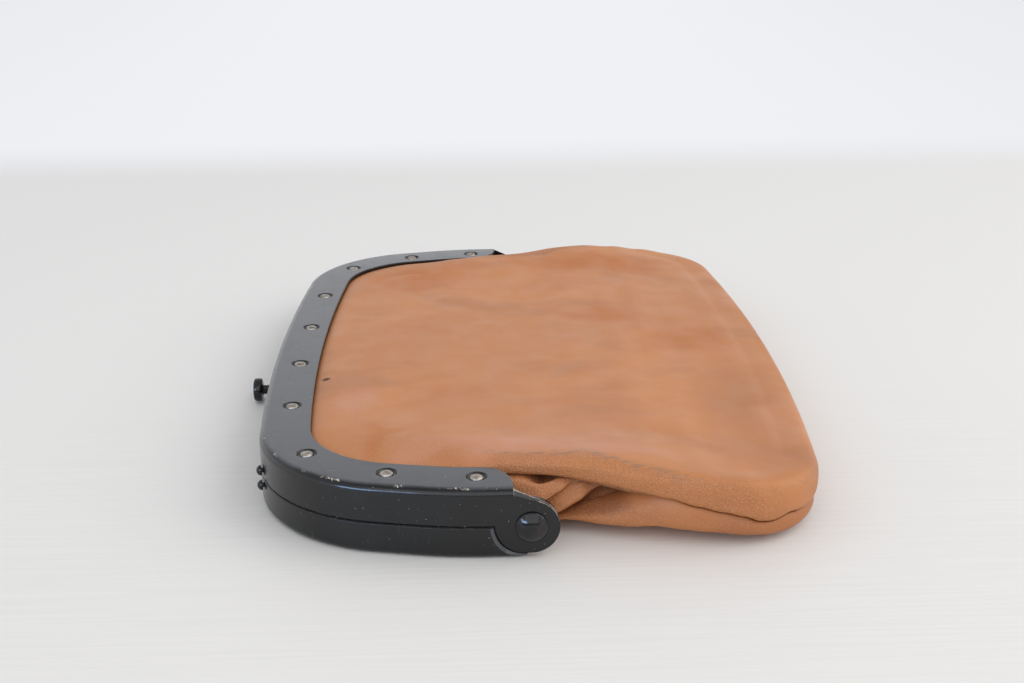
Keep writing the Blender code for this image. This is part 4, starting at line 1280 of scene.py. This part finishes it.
@dataclass
class LeatherBag:
    """Leather bag: front and back panels with rolled sides, and pleated gussets at the hinges.

    The panels are laid out from one base line in plan: the frame's inner edge round the mouth, then the
    bag's side, corner and bowed end. Sections are pairs of the distance inside that line and the height.
    """

    outline: FrameOutline
    thickness: float = 0.9 * MM
    side_inset: float = 1.1 * MM
    waist_inset: float = 8.4 * MM
    join_run: float = 3.0 * MM
    end_run: float = 50.3 * MM
    corner_radius: float = 15.0 * MM
    end_bow: float = math.radians(6.0)
    pitch: float = 1.0 * MM
    turning: float = 6.0 * MM
    hub: Place = (6.0 * MM, 0.0, 0.0)
    gusset_run: Row = (-5.0 * MM, 24.0 * MM)
    gusset_rows: int = 74
    # A pale tone painted on the gussets as light on their pleats
    gusset_painted_light: float = -0.45
    gusset_dryness: float = 0.7
    mouth_run: float = 9.0 * MM
    front_span: Span = ((26.0 * MM, 0.0, 10.0 * MM), (-3.0 * MM, 0.0, 10.0 * MM))
    gusset_span: Span = ((-6.0 * MM, 0.0, 2.0 * MM), (-7.3 * MM, 0.0, 9.3 * MM))
    crest: Profile = Profile((
        (-41, 11.7), (-30, 12.0), (-20, 12.6), (-12, 12.95), (-3, 12.8), (4, 12.9), (12, 13.35), (19, 13.2),
        (26, 12.5), (33, 11.5), (40, 10.8), (50, 10.5)))
    fold: Profile = Profile((
        (-40, 2.5), (-30, 6.5), (-22, 9.0), (-16, 7.0), (-12, 5.2), (-6, 3.2), (0, 2.2), (6, 1.6), (36, 1.7),
        (44, 2.6), (52, 2.8)))
    near_fold: Profile = Profile((
        (-40, 2.5), (-30, 6.5), (-22, 9.0), (-16, 7.0), (-12, 5.2), (-6, 3.0), (-1, 2.6), (4, 3.4), (9, 4.8),
        (13, 3.8), (19, 2.0), (25, 1.7), (36, 1.7), (44, 2.6), (52, 2.8)))
    seam: Profile = Profile((
        (-6, 10.2), (3, 10.0), (12, 9.55), (18, 8.8), (22.3, 8.1), (26.6, 7.0), (31, 6.15), (34, 5.5),
        (37, 4.4), (39, 4.2), (42, 4.8), (44, 4.5), (52, 4.4)))
    roll: Profile = Profile((
        (-4, 2.3), (2.5, 2.6), (5, 3.2), (7, 4.2), (9.3, 5.1), (11.5, 6.0), (13.2, 6.8), (14.7, 7.4),
        (16.5, 8.0), (18.5, 8.3), (22.3, 8.0), (26.6, 6.9), (31, 6.05), (34, 5.4), (37, 4.3), (39, 4.1),
        (42, 4.7), (44, 4.4), (52, 4.3)))
    knee: Profile = Profile((
        (-4, 2.2), (4, 2.5), (8, 2.4), (11.5, 2.2), (15.3, 2.3), (20.6, 2.9), (24.5, 2.5), (29, 2.3),
        (36, 1.8), (39, 1.5), (42, 1.4), (47, 1.6)))
    lean: Profile = Profile(((-6, 1.4), (3, 1.6), (9, 2.6), (13, 3.2), (17, 2.0), (22, 0.4), (26, 0.0)))
    hollow: Profile = Profile(((6.0, 3.1), (10.0, 3.8), (13.0, 4.2), (16.0, 5.1), (18.0, 5.8)))
    worn: Profile = Profile((
        (-7, 0.2), (0, 1.5), (3.3, 2.5), (6, 3.4), (10, 4.9), (13.6, 3.1), (18.4, 1.3), (24, 0.7), (34, 0.7)))
    wear_strength: Profile = Profile(((-8, 0.0), (-3, 0.7), (4, 1.0), (17, 1.0), (24, 0.5), (33, 0.0)))
    # Orange and pale patches; the long pale one on the near fold's crest, at (0, -53), is a painted highlight
    tones: tuple[Patch, ...] = (
        (-13, -30, 9, 7, 0.5), (5, -22, 8, 6, 0.5), (20, 13, 8, 6, 0.9), (36, 1, 8, 9, 1.0),
        (20, 52, 20, 6, 1.0), (-20, 42, 13, 10, 0.9), (-25, -48, 4, 5, 1.0), (24, -50, 5, 3, 0.5),
        (-29, -32, 4, 10, -0.8), (0, -53, 14, 4, -1.0), (-16, -53, 6, 4, -0.7), (17, -57, 10, 3, -0.6),
        (8, -43, 10, 7, -0.5), (10, 0, 8, 7, -0.4), (46, -38, 5, 10, -0.6), (41, -30, 5, 9, 0.3),
        (46, 30, 6, 9, -0.5), (5, -30, 12, 12, -0.35), (10, -60, 12, 4, -0.5), (11, 36, 9, 8, 0.6),
        (-17, 9, 8, 8, 0.4))
    # Darker patches; the one by the near arm, at (-8, -60), is painted shade
    shades: tuple[Patch, ...] = (
        (41, -32, 8, 16, 0.55), (45, -55, 9, 7, 0.55), (33, -66, 8, 4, 0.35), (-8, -60, 9, 4, 0.5),
        (30, 22, 10, 10, 0.2), (46, 5, 6, 16, 0.2))
    stored_values: ClassVar[tuple[str, ...]] = ("fold", "tone", "shade", "dry", "flesh")

    @property
    def end_x(self) -> float:
        """Return the bag's far end."""
        return self.outline.hinge_x + self.end_run

    @property
    def half_width(self) -> float:
        """Return the bag's widest half width."""
        return self.outline.ear_half_width - self.side_inset

    @property
    def bow_radius(self) -> float:
        """Return the radius of the bag's bowed end."""
        return (self.half_width - self.corner_radius * (1 - math.sin(self.end_bow))) / math.sin(self.end_bow)

    @property
    def widest_x(self) -> float:
        """Return where the sides end and the round corners begin."""
        corner_x = self.end_x - self.bow_radius * (1 - math.cos(self.end_bow))
        return corner_x - self.corner_radius * math.cos(self.end_bow)

    def side(self, x: float) -> float:
        """Return the bag's half width before its widest place.

        Args:
            x: Place along the pouch.

        Returns:
            The half width.
        """
        join, narrowing = self.outline.hinge_x + self.join_run, self.waist_inset - self.side_inset
        share = (self.widest_x - x) / (self.widest_x - join)
        turned = 1 + (share - 1) * math.pi / 2 if share > 1 else 1 - math.cos(share * math.pi / 2)
        return self.half_width - narrowing * turned

    def inside(self, point: Vector) -> float:
        """Return how far inside the bag's side a point is."""
        return self.side(min(point.x, self.widest_x)) - abs(point.y)

    def base(self) -> list[Vector]:
        """Return the closed base line, evenly spaced, anticlockwise from the mouth's middle.

        Returns:
            The line's points.
        """
        middle, radius, bow_radius = self.outline.middle_run(), self.corner_radius, self.bow_radius
        near = [self.outline.station(run - middle).at(self.outline.flange_width, 0.0)
                for run in reversed(spread(self.mouth_run, middle, 90))]
        arm, round_off = near[-1].copy(), 0.6 * MM
        for x in spread(arm.x, self.widest_x, 48)[1:]:
            bulge = round_off * math.log(1 + math.exp((self.side(x) + arm.y) / round_off))
            near.append(Vector((x, arm.y - bulge, 0.0)))
        near[-1].y = -self.half_width
        for angle in spread(0.0, math.pi / 2 - self.end_bow, 24)[1:]:
            near.append(Vector((self.widest_x + radius * math.sin(angle),
                                -self.half_width + radius * (1 - math.cos(angle)), 0.0)))
        for angle in spread(self.end_bow, 0.0, 24)[1:]:
            near.append(Vector((self.end_x - bow_radius * (1 - math.cos(angle)),
                                -bow_radius * math.sin(angle), 0.0)))
        near = self.even(near)
        return near + [Vector((p.x, -p.y, 0.0)) for p in reversed(near[1:-1])]

    def even(self, points: Sequence[Vector]) -> list[Vector]:
        """Return a line's points again at an even pitch.

        Args:
            points: The line.

        Returns:
            Its new points.
        """
        reach = [0.0]
        for before, after in zip(points, points[1:]):
            reach.append(reach[-1] + (after - before).length)
        places = np.linspace(0, reach[-1], int(reach[-1] / self.pitch) + 1)
        xs, ys = (np.interp(places, reach, [p[axis] for p in points]) for axis in (0, 1))
        return [Vector((float(x), float(y), 0.0)) for x, y in zip(xs, ys)]

    def inwards(self, base: Sequence[Vector]) -> list[Vector]:
        """Return the way into the bag at each point of the base line, turning slowly round tight bends.

        Args:
            base: The closed base line.

        Returns:
            A unit vector for each point.
        """
        count, reach = len(base), int(3 * self.turning / self.pitch)
        tangents = [(base[(k + 1) % count] - base[k - 1]).normalized() for k in range(count)]
        weights = [(k, math.exp(-0.5 * (k * self.pitch / self.turning) ** 2))
                   for k in range(-reach, reach + 1)]
        out = []
        for k in range(count):
            total = Vector((0.0, 0.0, 0.0))
            for offset, weight in weights:
                tangent = tangents[(k + offset) % count]
                total += Vector((-tangent.y, tangent.x, 0.0)) * weight
            out.append(total.normalized())
        return out

    def share(self, x: float) -> float:
        """Return how far the panels have come out of the frame and turned into rolled sides."""
        return ramp(x, -8.5 * MM, -3.0 * MM)

    def seam_gap(self, x: float) -> float:
        """Return half the slit between the panels' edges in millimetres, wider round the corners."""
        return 0.12 + 0.07 * ramp(x, 36 * MM, 44 * MM)

    def front_section(self, x: float, near: bool) -> list[Row]:
        """Return the front panel's outer skin from its edge inwards, with a slacker fold on the near side.

        Args:
            x: Place along the pouch.
            near: Whether it is on the near side.

        Returns:
            The section, as distance inside the base line and height.
        """
        under, puff = self.outline.total_height / MM - 1.1, self.crest.level(x)
        lift, fold = puff - under, (self.near_fold if near else self.fold).level(x)
        clamped = [(-4.6, under), (-3.2, under), (-1.8, under), (-0.4, under), (0.3, under + lift * 0.3),
                   (fold * 0.5, under + lift * 0.74), (fold, puff - 0.06), (fold + 3.4, puff)]
        seam = self.seam.level(x) + self.seam_gap(x)
        rise = puff - seam
        rolled = [(1.5, seam + rise * 0.06), (0.6, seam), (0.1, seam + rise * 0.13), (0.0, seam + rise * 0.4),
                  (0.16, seam + rise * 0.7), (fold * 0.36, seam + rise * 0.92), (fold, puff),
                  (fold + 3.4, puff - 0.05)]
        return self.mixed(clamped, rolled, self.share(x))

    def back_section(self, x: float, near: bool) -> list[Row]:
        """Return the back panel's outer skin from its edge inwards, lifted off the table at the sides.

        Args:
            x: Place along the pouch.
            near: Whether it is on the near side, which leans in further.

        Returns:
            The section, as distance inside the base line and height.
        """
        under, tuck = 1.1, 0.5
        clamped = [(-4.6, under), (-3.0, under), (-1.5, under), (0.0, under), (0.9, under * 0.7),
                   (1.8, under * 0.4), (4.0, under * 0.1), (8.0, 0.0), (14.5, 0.0)]
        top = self.roll.level(x) - self.seam_gap(x)
        knee = min(self.knee.level(x), top * 0.75)
        face_height, lean = top - knee, self.lean.level(x) * (1.0 if near else 0.6)
        rolled = [(1.4 + lean, top - 0.3), (0.5 + lean, top), (0.1 + lean * 0.6, top - face_height * 0.2),
                  (lean * 0.1, top - face_height * 0.5), (0.3, top - face_height * 0.82), (1.3, knee * 0.93),
                  (4.5, knee * 0.6), (9.0, knee * 0.2), (14.0, 0.0)]
        return self.mixed(clamped, [(tuck + depth, z) for depth, z in rolled], self.share(x))

    def mixed(self, clamped: Sequence[Row], rolled: Sequence[Row], share: float) -> list[Row]:
        """Return a section part way between its clamped and its rolled form."""
        return through(in_mm([(a[0] + (b[0] - a[0]) * share, a[1] + (b[1] - a[1]) * share)
                              for a, b in zip(clamped, rolled)]))

    def waves(self, point: Vector, along: float, across: float, seed: float) -> float:
        """Return smooth noise between about -1 and 1, with a size along X and one along Y in millimetres."""
        place = Vector((point.x / (along * MM) + seed, point.y / (across * MM), seed * 2))
        return noise.noise(place, noise_basis="PERLIN_ORIGINAL")

    def sag(self, point: Vector, depth: float) -> float:
        """Return how far the front panel's top lies off its crest at a depth inside the fold.

        Args:
            point: Place on the piece.
            depth: Distance inside the fold.

        Returns:
            The rise, below zero where it sags.
        """
        middle = ramp(point.x, -38 * MM, -20 * MM) * ramp(point.x, 46 * MM, 28 * MM)
        inside, away = ramp(depth, 4.0 * MM, 20.0 * MM), ramp(depth, 1.0 * MM, 8.0 * MM)
        uneven = 0.4 * MM * self.waves(point, 30, 24, 3.1) + 0.12 * MM * self.waves(point, 9, 16, 7.7)
        return -0.8 * MM * middle * inside + uneven * away * (0.35 + 0.65 * middle)

    def panel(self, name: str, section: Callable[[float, bool], list[Row]], top: bool) -> bpy.types.Object:
        """Return one panel as a thick sheet.

        Args:
            name: The piece's name.
            section: Skin of the panel at a place along the pouch.
            top: Whether it is the front panel, which lies on top.

        Returns:
            The piece.
        """
        base, hub = self.base(), Vector(self.hub)
        loft, columns = Loft(), []
        for point, way in zip(base, self.inwards(base)):
            rows = section(point.x, point.y < 0)
            column = [point + way * depth + Vector((0, 0, z)) for depth, z in rows]
            if top:
                for spot, (depth, _z) in zip(column, rows):
                    spot.z += self.sag(spot, max(depth - 1.6 * MM, 0.0))
            rim, depth = column[-1].copy(), rows[-1][0]
            for share in spread(0.0, 1.0, 44)[1:-1]:
                spot = rim + (hub - rim) * share
                spot.z = self.crest(spot.x) + self.sag(spot, depth + (spot - rim).length) if top else rim.z
                column.append(spot)
            columns.append(loft.ring([self.crumple(spot, top) for spot in column]))
        hub.z = self.crest(hub.x) + self.sag(hub, 1.0) if top else 0.0
        pole = loft.data.verts.new(self.crumple(hub, top))
        for first, second in zip(columns, columns[1:] + columns[:1]):
            for row in range(len(first) - 1):
                loft.data.faces.new((first[row], second[row], second[row + 1], first[row + 1]))
            loft.data.faces.new((first[-1], second[-1], pole))
        piece = loft.finish(name, 80.0)
        face(piece, Vector((0, 0, 1 if top else -1)))
        self.thicken(piece)
        return piece

    def crumple(self, point: Vector, top: bool) -> Vector:
        """Move a point of a panel by the small creases near its folded sides.

        Args:
            point: Place on the piece.
            top: Whether it belongs to the front panel or a gusset.

        Returns:
            The moved point.
        """
        side = 1 if point.y > 0 else -1
        seed = side + 4.0 * top
        share = self.share(point.x) * ramp(abs(point.y), 40 * MM, 56 * MM)
        fine = self.waves(Vector((point.x, point.z * 2.2, 0)), 7, 5, 11.0 + seed)
        broad = self.waves(Vector((point.x, point.z, 0)), 19, 12, 17.0 + seed)
        return point + Vector((0, side * share * (0.28 * MM * fine + 0.5 * MM * broad), 0))

    def thicken(self, piece: bpy.types.Object) -> None:
        """Give a skin the leather's thickness, inwards.

        Args:
            piece: The skin, which is changed in place.
        """
        solid = piece.modifiers.new("Leather", "SOLIDIFY")
        solid.thickness = self.thickness
        solid.offset = -1.0
        settle(piece)

    def fold_value(self, point: Vector) -> float:
        """Return how worn the hide is: along the crest of each side fold, and faintly at the end's corners.

        Args:
            point: Place on the piece.

        Returns:
            The wear, 0 to 1.
        """
        off, below = (self.inside(point) - self.worn(point.x)) / MM, (self.crest(point.x) - point.z) / MM
        line = math.exp(-(off / 0.75) ** 2) * self.wear_strength.level(point.x) * ramp(-below, -2.0, -1.2)
        corner = ramp(point.x, 36 * MM, 43 * MM) * ramp(abs(point.y), 50 * MM, 58 * MM)
        return max(line, corner * math.exp(-((1.2 - below) / 0.6) ** 2) * 0.4)

    def patchwork(self, point: Vector, patches: Sequence[Patch]) -> float:
        """Return the sum of soft patches, each with its place, its sizes and its strength, in plan.

        Args:
            point: Place on the piece.
            patches: The patches.

        Returns:
            The sum.
        """
        # Noise pulls the patches out of round, as oil and handling leave them, and as the painted highlight
        # and shade among them would fall
        x = point.x / MM + 6 * self.waves(point, 11, 15, 23.0) + 2.5 * self.waves(point, 4, 5, 29.0)
        y = point.y / MM + 6 * self.waves(point, 15, 11, 31.0) + 2.5 * self.waves(point, 5, 4, 37.0)
        return sum(strength * math.exp(-((x - at_x) / wide) ** 2 - ((y - at_y) / deep) ** 2)
                   for at_x, at_y, wide, deep, strength in patches)

    def upper_shade(self, point: Vector) -> float:
        """Return how much darker the front panel is at a point: in patches, and a painted shade under its
        rolled sides.
        """
        under = ramp(self.crest(point.x) - point.z, 1.8 * MM, 3.4 * MM) * ramp(abs(point.y), 50 * MM, 56 * MM)
        return self.patchwork(point, self.shades) + under * (0.1 + 0.75 * ramp(point.x, 9 * MM, 0.0))

    def lower_shade(self, point: Vector) -> float:
        """Return how much darker the back panel's side is: a painted shadow in the hollow under the pleats,
        and darker towards the bag's end.

        Args:
            point: Place on the piece.

        Returns:
            The shade, 0.15 to 1.
        """
        at, outside, low = point.x / MM, ramp(abs(point.y), 40 * MM, 55 * MM), self.hollow.level(point.x)
        hollow = ramp(point.z / MM, low - 0.7, low + 0.5) * ramp(at, 4.0, 8.0) * ramp(at, 19.0, 14.0)
        return max(0.15 + 0.6 * ramp(at, 22.0, 36.0) * outside, hollow * outside)

    def gusset_side(self, x: float) -> float:
        """Return the half width that a gusset's pleats are measured in from."""
        return max(self.outline.ear_half_width - self.outline.flange_width, self.side(x))

    def gusset_shade(self, point: Vector) -> float:
        """Return the painted shade on a gusset, darker where it goes in under the front panel."""
        depth = self.gusset_side(point.x) - abs(point.y)
        return ramp(depth, 1.9 * MM, 3.2 * MM) * ramp(point.x, 6 * MM, 9 * MM)

    def dryness(self, point: Vector) -> float:
        """Return how dry and open-grained the hide is: the sides are, and the top only fades into it.

        Args:
            point: Place on the piece.

        Returns:
            The dryness, 0 to 1.
        """
        at, depth = point.x / MM, self.inside(point) / MM
        reach = self.worn.level(point.x)
        arm = ramp(depth, 7.0, 1.0) * ramp(at, -2.0, -8.0) * 0.45
        edge = max(ramp(depth, 3.0, 1.2), ramp(point.x - self.end_x, -3.0 * MM, -1.2 * MM))
        end = edge * ramp(point.x, self.widest_x, self.widest_x + 6 * MM) * 0.6
        return max(ramp(depth, reach + 0.9, reach - 0.9) * ramp(at, -9.0, -2.0), arm, end)

    def build(self, finishes: Finishes) -> None:
        """Sew the bag: both panels, then the gussets.

        Args:
            finishes: The pouch's finishes.
        """
        values = {"fold": self.fold_value, "tone": lambda point: self.patchwork(point, self.tones),
                  "shade": self.upper_shade, "dry": self.dryness}
        self.dress(self.panel("front_leather", self.front_section, True), finishes, "front_panel", values,
                   self.front_span)
        values = {**values, "tone": lambda _point: 0.0, "shade": self.lower_shade}
        self.dress(self.panel("back_leather", self.back_section, False), finishes, "back_panel", values, None)
        # The gussets get a pale tone painted as light on their pleats, and painted shade where they go in
        values = {"fold": lambda _point: 0.0, "tone": lambda _point: self.gusset_painted_light,
                  "shade": self.gusset_shade, "dry": lambda _point: self.gusset_dryness}
        for name, side in SIDES:
            self.dress(self.gusset(name, side), finishes, f"{name}_gusset", values, self.gusset_span)

    def dress(self, piece: bpy.types.Object, finishes: Finishes, node: str, values: dict,
              spans: Optional[Span]) -> None:
        """Finish a leather piece and let it ride on the lower half, unless it has spans.

        Args:
            piece: The leather piece.
            finishes: The pouch's finishes.
            node: Solid that it stands for.
            values: Wear, tones and painted shade of its outer skin, by the names that the leather reads.
            spans: Where it leaves the lower half and where it has joined the upper one; a piece with spans
                rides on no body.
        """
        for name, value in values.items():
            vertex_value(piece, name, value, 0.0)
        vertex_value(piece, "flesh", lambda _point: 0.0, 1.0)
        piece.data.materials.clear()
        piece.data.materials.append(finishes.leather)
        if spans:
            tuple(spans[0])
            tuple(spans[1])
            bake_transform(piece)
        else:
            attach(piece, Body.LOWER.value)
        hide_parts(node)
        LOG.info("%s stands for %s", piece.name, node)

    def gusset(self, name: str, side: int) -> bpy.types.Object:
        """Return a side gusset, folded in two pleats that run up under the front panel's edge.

        Args:
            name: The side's name.
            side: -1 for the near side, 1 for the far one.

        Returns:
            The piece.
        """
        loft, loops = Loft(), []
        for run in spread(*self.gusset_run, self.gusset_rows):
            x = self.outline.hinge_x + run
            loops.append(loft.ring([self.crumple(Vector((x, side * (self.gusset_side(x) - depth), z)), True)
                                    for depth, z in self.pleats(x)]))
        for first, second in zip(loops, loops[1:]):
            loft.skin(first, second, closed=False)
        piece = loft.finish(f"{name}_gusset_leather", 80.0)
        face(piece, Vector((0, side, 0)))
        self.thicken(piece)
        return piece

    def pleats(self, x: float) -> list[Row]:
        """Return the gusset's section as depth and height: two pleats over a deep fold.

        Args:
            x: Place along the pouch.

        Returns:
            The section, from under the front panel down to behind the back panel.
        """
        at = x / MM
        hollow = math.exp(-((at - 3.1) / 1.9) ** 2)
        top = self.seam.level(x) - 0.15 - 0.55 * hollow
        split = min(6.1 + 0.52 * (at - 3.1), top - 0.25)
        foot = min(max(3.3 + 0.6 * (at - 5.0), 2.3), split - 0.25)
        upper, lower = top - split, split - foot
        back_up = 2.2 * ramp(upper, 2.2, 0.6) - 2.0 * ramp(at, 7.0, 2.0)
        back_low = 2.8 * ramp(lower, 4.2, 1.6) - 1.1 * ramp(at, 10.0, 5.0)
        low = max(min(self.roll.level(x) - 0.9, foot - 0.3), 1.6)
        upper_pleat = [(2.9, top - 1.3 * hollow), (1.3, top - 0.1 * upper), (0.7, top - 0.45 * upper),
                       (0.45, top - 0.8 * upper), (0.95, split)]
        lower_pleat = [(2.3, split - 0.05), (1.6, split - 0.2 * lower), (1.0, split - 0.5 * lower),
                       (0.8, split - 0.8 * lower), (1.7, foot), (4.6, foot + 0.35)]
        rows = [(6.5, top + 0.2 - 1.4 * hollow), *[(depth + back_up, z) for depth, z in upper_pleat],
                (2.8, split + 0.25), *[(depth + back_low, z) for depth, z in lower_pleat],
                (6.2, (foot + low) / 2), (4.2, low), (3.4, low - 0.8)]
        return through(in_mm(rows))


@dataclass
class Studio:
    """Pale painted table, soft light as from windows round a room, and the camera."""

    table: str = "#E9E8E6"
    far_table: str = "#F0F1F5"
    far_side: str = "#E9EAEE"
    air: str = "#F6F7FA"
    tone_change: Row = (0.2, 0.27)
    line_shade: float = 0.972
    wall_light: float = 1.14
    ceiling_light: float = 0.6
    seen_light: float = 0.93
    reach: float = 6.0
    camera_at: Place = (-7.91 * MM, -262.66 * MM, 103.8 * MM)
    camera_way: Place = (0.0295, 0.9431, -0.3312)
    camera_roll: float = -0.0096
    lens_mm: float = 49.56

    def floor(self) -> None:
        """Lay the table, wide enough that no view shows its edge."""
        loft = Loft()
        near, far = (loft.ring([Vector((x, y, 0.0)) for x in (-self.reach, self.reach)])
                     for y in (-self.reach, self.reach))
        loft.skin(near, far, closed=False)
        piece = loft.finish("table", 80.0)
        face(piece, Vector((0, 0, 1)))
        piece.data.materials.append(self.board())

    def board(self) -> bpy.types.Material:
        """Return the finish of the table.

        Returns:
            The material.
        """
        # White painted board: matt and even, with faint brush lines round the pouch
        recipe = Recipe("white_painted_board")
        add = recipe.add
        across, deep = add(Kind.X, recipe.place), add(Kind.Y, recipe.place)
        # Brush lines of the paint run across the table, plain only close to the pouch
        close = add(Kind.BAND, deep, -0.16, -0.09) * add(Kind.BAND, deep, 0.02, -0.03)
        lines = add(Kind.BAND, recipe.streaks((30.0, 0.7, 1.0), 3.0), 0.35, 0.7) * close
        line_tone = tuple(c * self.line_shade for c in linear(self.table)[:3]) + (1.0,)
        # The board behind is a shade cooler and lighter, as a wall further off would be
        behind = add(Kind.BAND, deep, *self.tone_change)
        sideways = add(Kind.BAND, add(Kind.ABSOLUTE, across), 0.05, 0.45)
        backdrop = add(Kind.BLEND, sideways, self.far_table, self.far_side)
        paint = add(Kind.BLEND, behind, add(Kind.BLEND, lines, self.table, line_tone), backdrop)
        recipe.connect(Base_Color=paint, Roughness=0.62, Normal=add(Kind.RELIEF, lines, 0.012 * MM))
        # Seen or mirrored it shows its own colour, and on the pouch it sheds no more light than a board does
        shown = behind * (add(Kind.SEEN) | add(Kind.MIRRORED) | add(Kind.THROUGH_GLASS))
        layers = add(Kind.LAYERS, shown, recipe.shader.outputs[0], add(Kind.GLOW, backdrop, 1.0))
        recipe.feed(recipe.tree.nodes["Material Output"].inputs["Surface"], layers)
        return recipe.material

    def room(self) -> None:
        """Light the room evenly, with a dimmer ceiling and a dark low strip in front, behind the camera."""
        world = bpy.context.scene.world or bpy.data.worlds.new("room")
        bpy.context.scene.world = world
        world.use_nodes = True
        sky = Nodes(world.node_tree)
        background = sky.tree.nodes["Background"]
        way = sky.add(Kind.ROOM_WAY)
        up = sky.add(Kind.Z, way)
        strip = (sky.add(Kind.SLOPE, up, 0.13, 0.19, 0.2, 1.0)
                 | sky.add(Kind.SLOPE, sky.add(Kind.Y, way), -0.75, -0.55, 0.2, 1.0))
        strength = sky.add(Kind.SLOPE, up, 0.1, 0.9, self.wall_light, self.ceiling_light) * strip
        # Views from the sides and from behind show the room as one pale tone
        shown = sky.add(Kind.CHOICE, sky.add(Kind.SEEN), strength, self.seen_light)
        sky.feed(background.inputs["Strength"], shown)
        sky.feed(background.inputs["Color"], self.air)

    def build(self) -> None:
        """Set the table, the room, the lights and the camera."""
        self.floor()
        self.room()
        self.lamp("skylight_right", (0.75, -0.15, 0.65), (0.9, 0.9), 3.5, "#FFFBF5")
        self.lamp("window_left", (-0.66, -0.82, 0.32), (0.5, 0.19), 4.6, "#A9CBFF").visible_diffuse = False
        self.lamp("window_front", (0.05, -0.83, 0.58), (1.3, 0.7), 2.4, "#FFFFFF")
        self.camera()

    def lamp(self, name: str, place: Place, size: Row, power: float, color: str) -> bpy.types.Object:
        """Hang a soft light that faces the pouch.

        Args:
            name: The light's name.
            place: Where it hangs.
            size: Its width and height in metres.
            power: Its power in watts.
            color: Its colour as a hex code.

        Returns:
            The light.
        """
        light = bpy.data.lights.new(name, "AREA")
        light.shape, light.size, light.size_y, light.energy = "RECTANGLE", size[0], size[1], power
        light.color = linear(color)[:3]
        made = bpy.data.objects.new(name, light)
        bpy.context.scene.collection.objects.link(made)
        aim = Vector((0.0, -0.03, 0.0)) - Vector(place)
        made.matrix_world = Matrix.Translation(place) @ aim.to_track_quat("-Z", "Y").to_matrix().to_4x4()
        return made

    def camera(self) -> None:
        """Set the camera at the photographed angle: a 50 mm lens, low over the table."""
        lens = bpy.data.cameras.new("camera")
        lens.lens, lens.sensor_width, lens.sensor_fit = self.lens_mm, 36.0, "HORIZONTAL"
        lens.clip_start = 0.01
        made = bpy.data.objects.new("camera", lens)
        bpy.context.scene.collection.objects.link(made)
        turn = Vector(self.camera_way).to_track_quat("-Z", "Y").to_matrix().to_4x4()
        roll = Matrix.Rotation(self.camera_roll, 4, "Z")
        made.matrix_world = Matrix.Translation(self.camera_at) @ turn @ roll
        bpy.context.scene.camera = made


def dress_strips(nodes: dict[str, bpy.types.Object], finishes: Finishes) -> None:
    """Give the hidden steel strips their rolled finish.

    Args:
        nodes: The carried-over solids by name.
        finishes: The pouch's finishes.
    """
    for name, finish in (("upper_backing_strip", finishes.strip), ("lower_backing_strip", finishes.strip),
                         ("catch_strip", finishes.spring), ("latch_strip", finishes.spring)):
        materials = nodes[name].data.materials
        if not materials:
            materials.append(finish)
        for index in range(len(materials)):
            materials[index] = finish


def main() -> None:
    """Build the pouch piece by piece, then the studio."""
    logging.basicConfig(level=logging.INFO, format="%(message)s")
    hinge = next(joint for joint in frame["joints"] if joint["name"] == "frame_hinge")["pos_m"]
    outline = FrameOutline(hinge_x=hinge[0], axis_z=hinge[2])
    finishes = Finishes(ChippedEnamel((outline.hinge_x - PressedHalf.ear_shift, 0.0, outline.axis_z)).make())
    Studio().build()
    upper, lower = PressedHalf(outline, Half.UPPER), PressedHalf(outline, Half.LOWER)
    for piece in (upper, lower, HingeAndStuds(lower), PressKnob(lower), LeatherBag(outline)):
        piece.build(finishes)
    dress_strips(frame["nodes"], finishes)
    bpy.context.scene.view_settings.view_transform = "Standard"


if __name__ == "__main__":
    main()
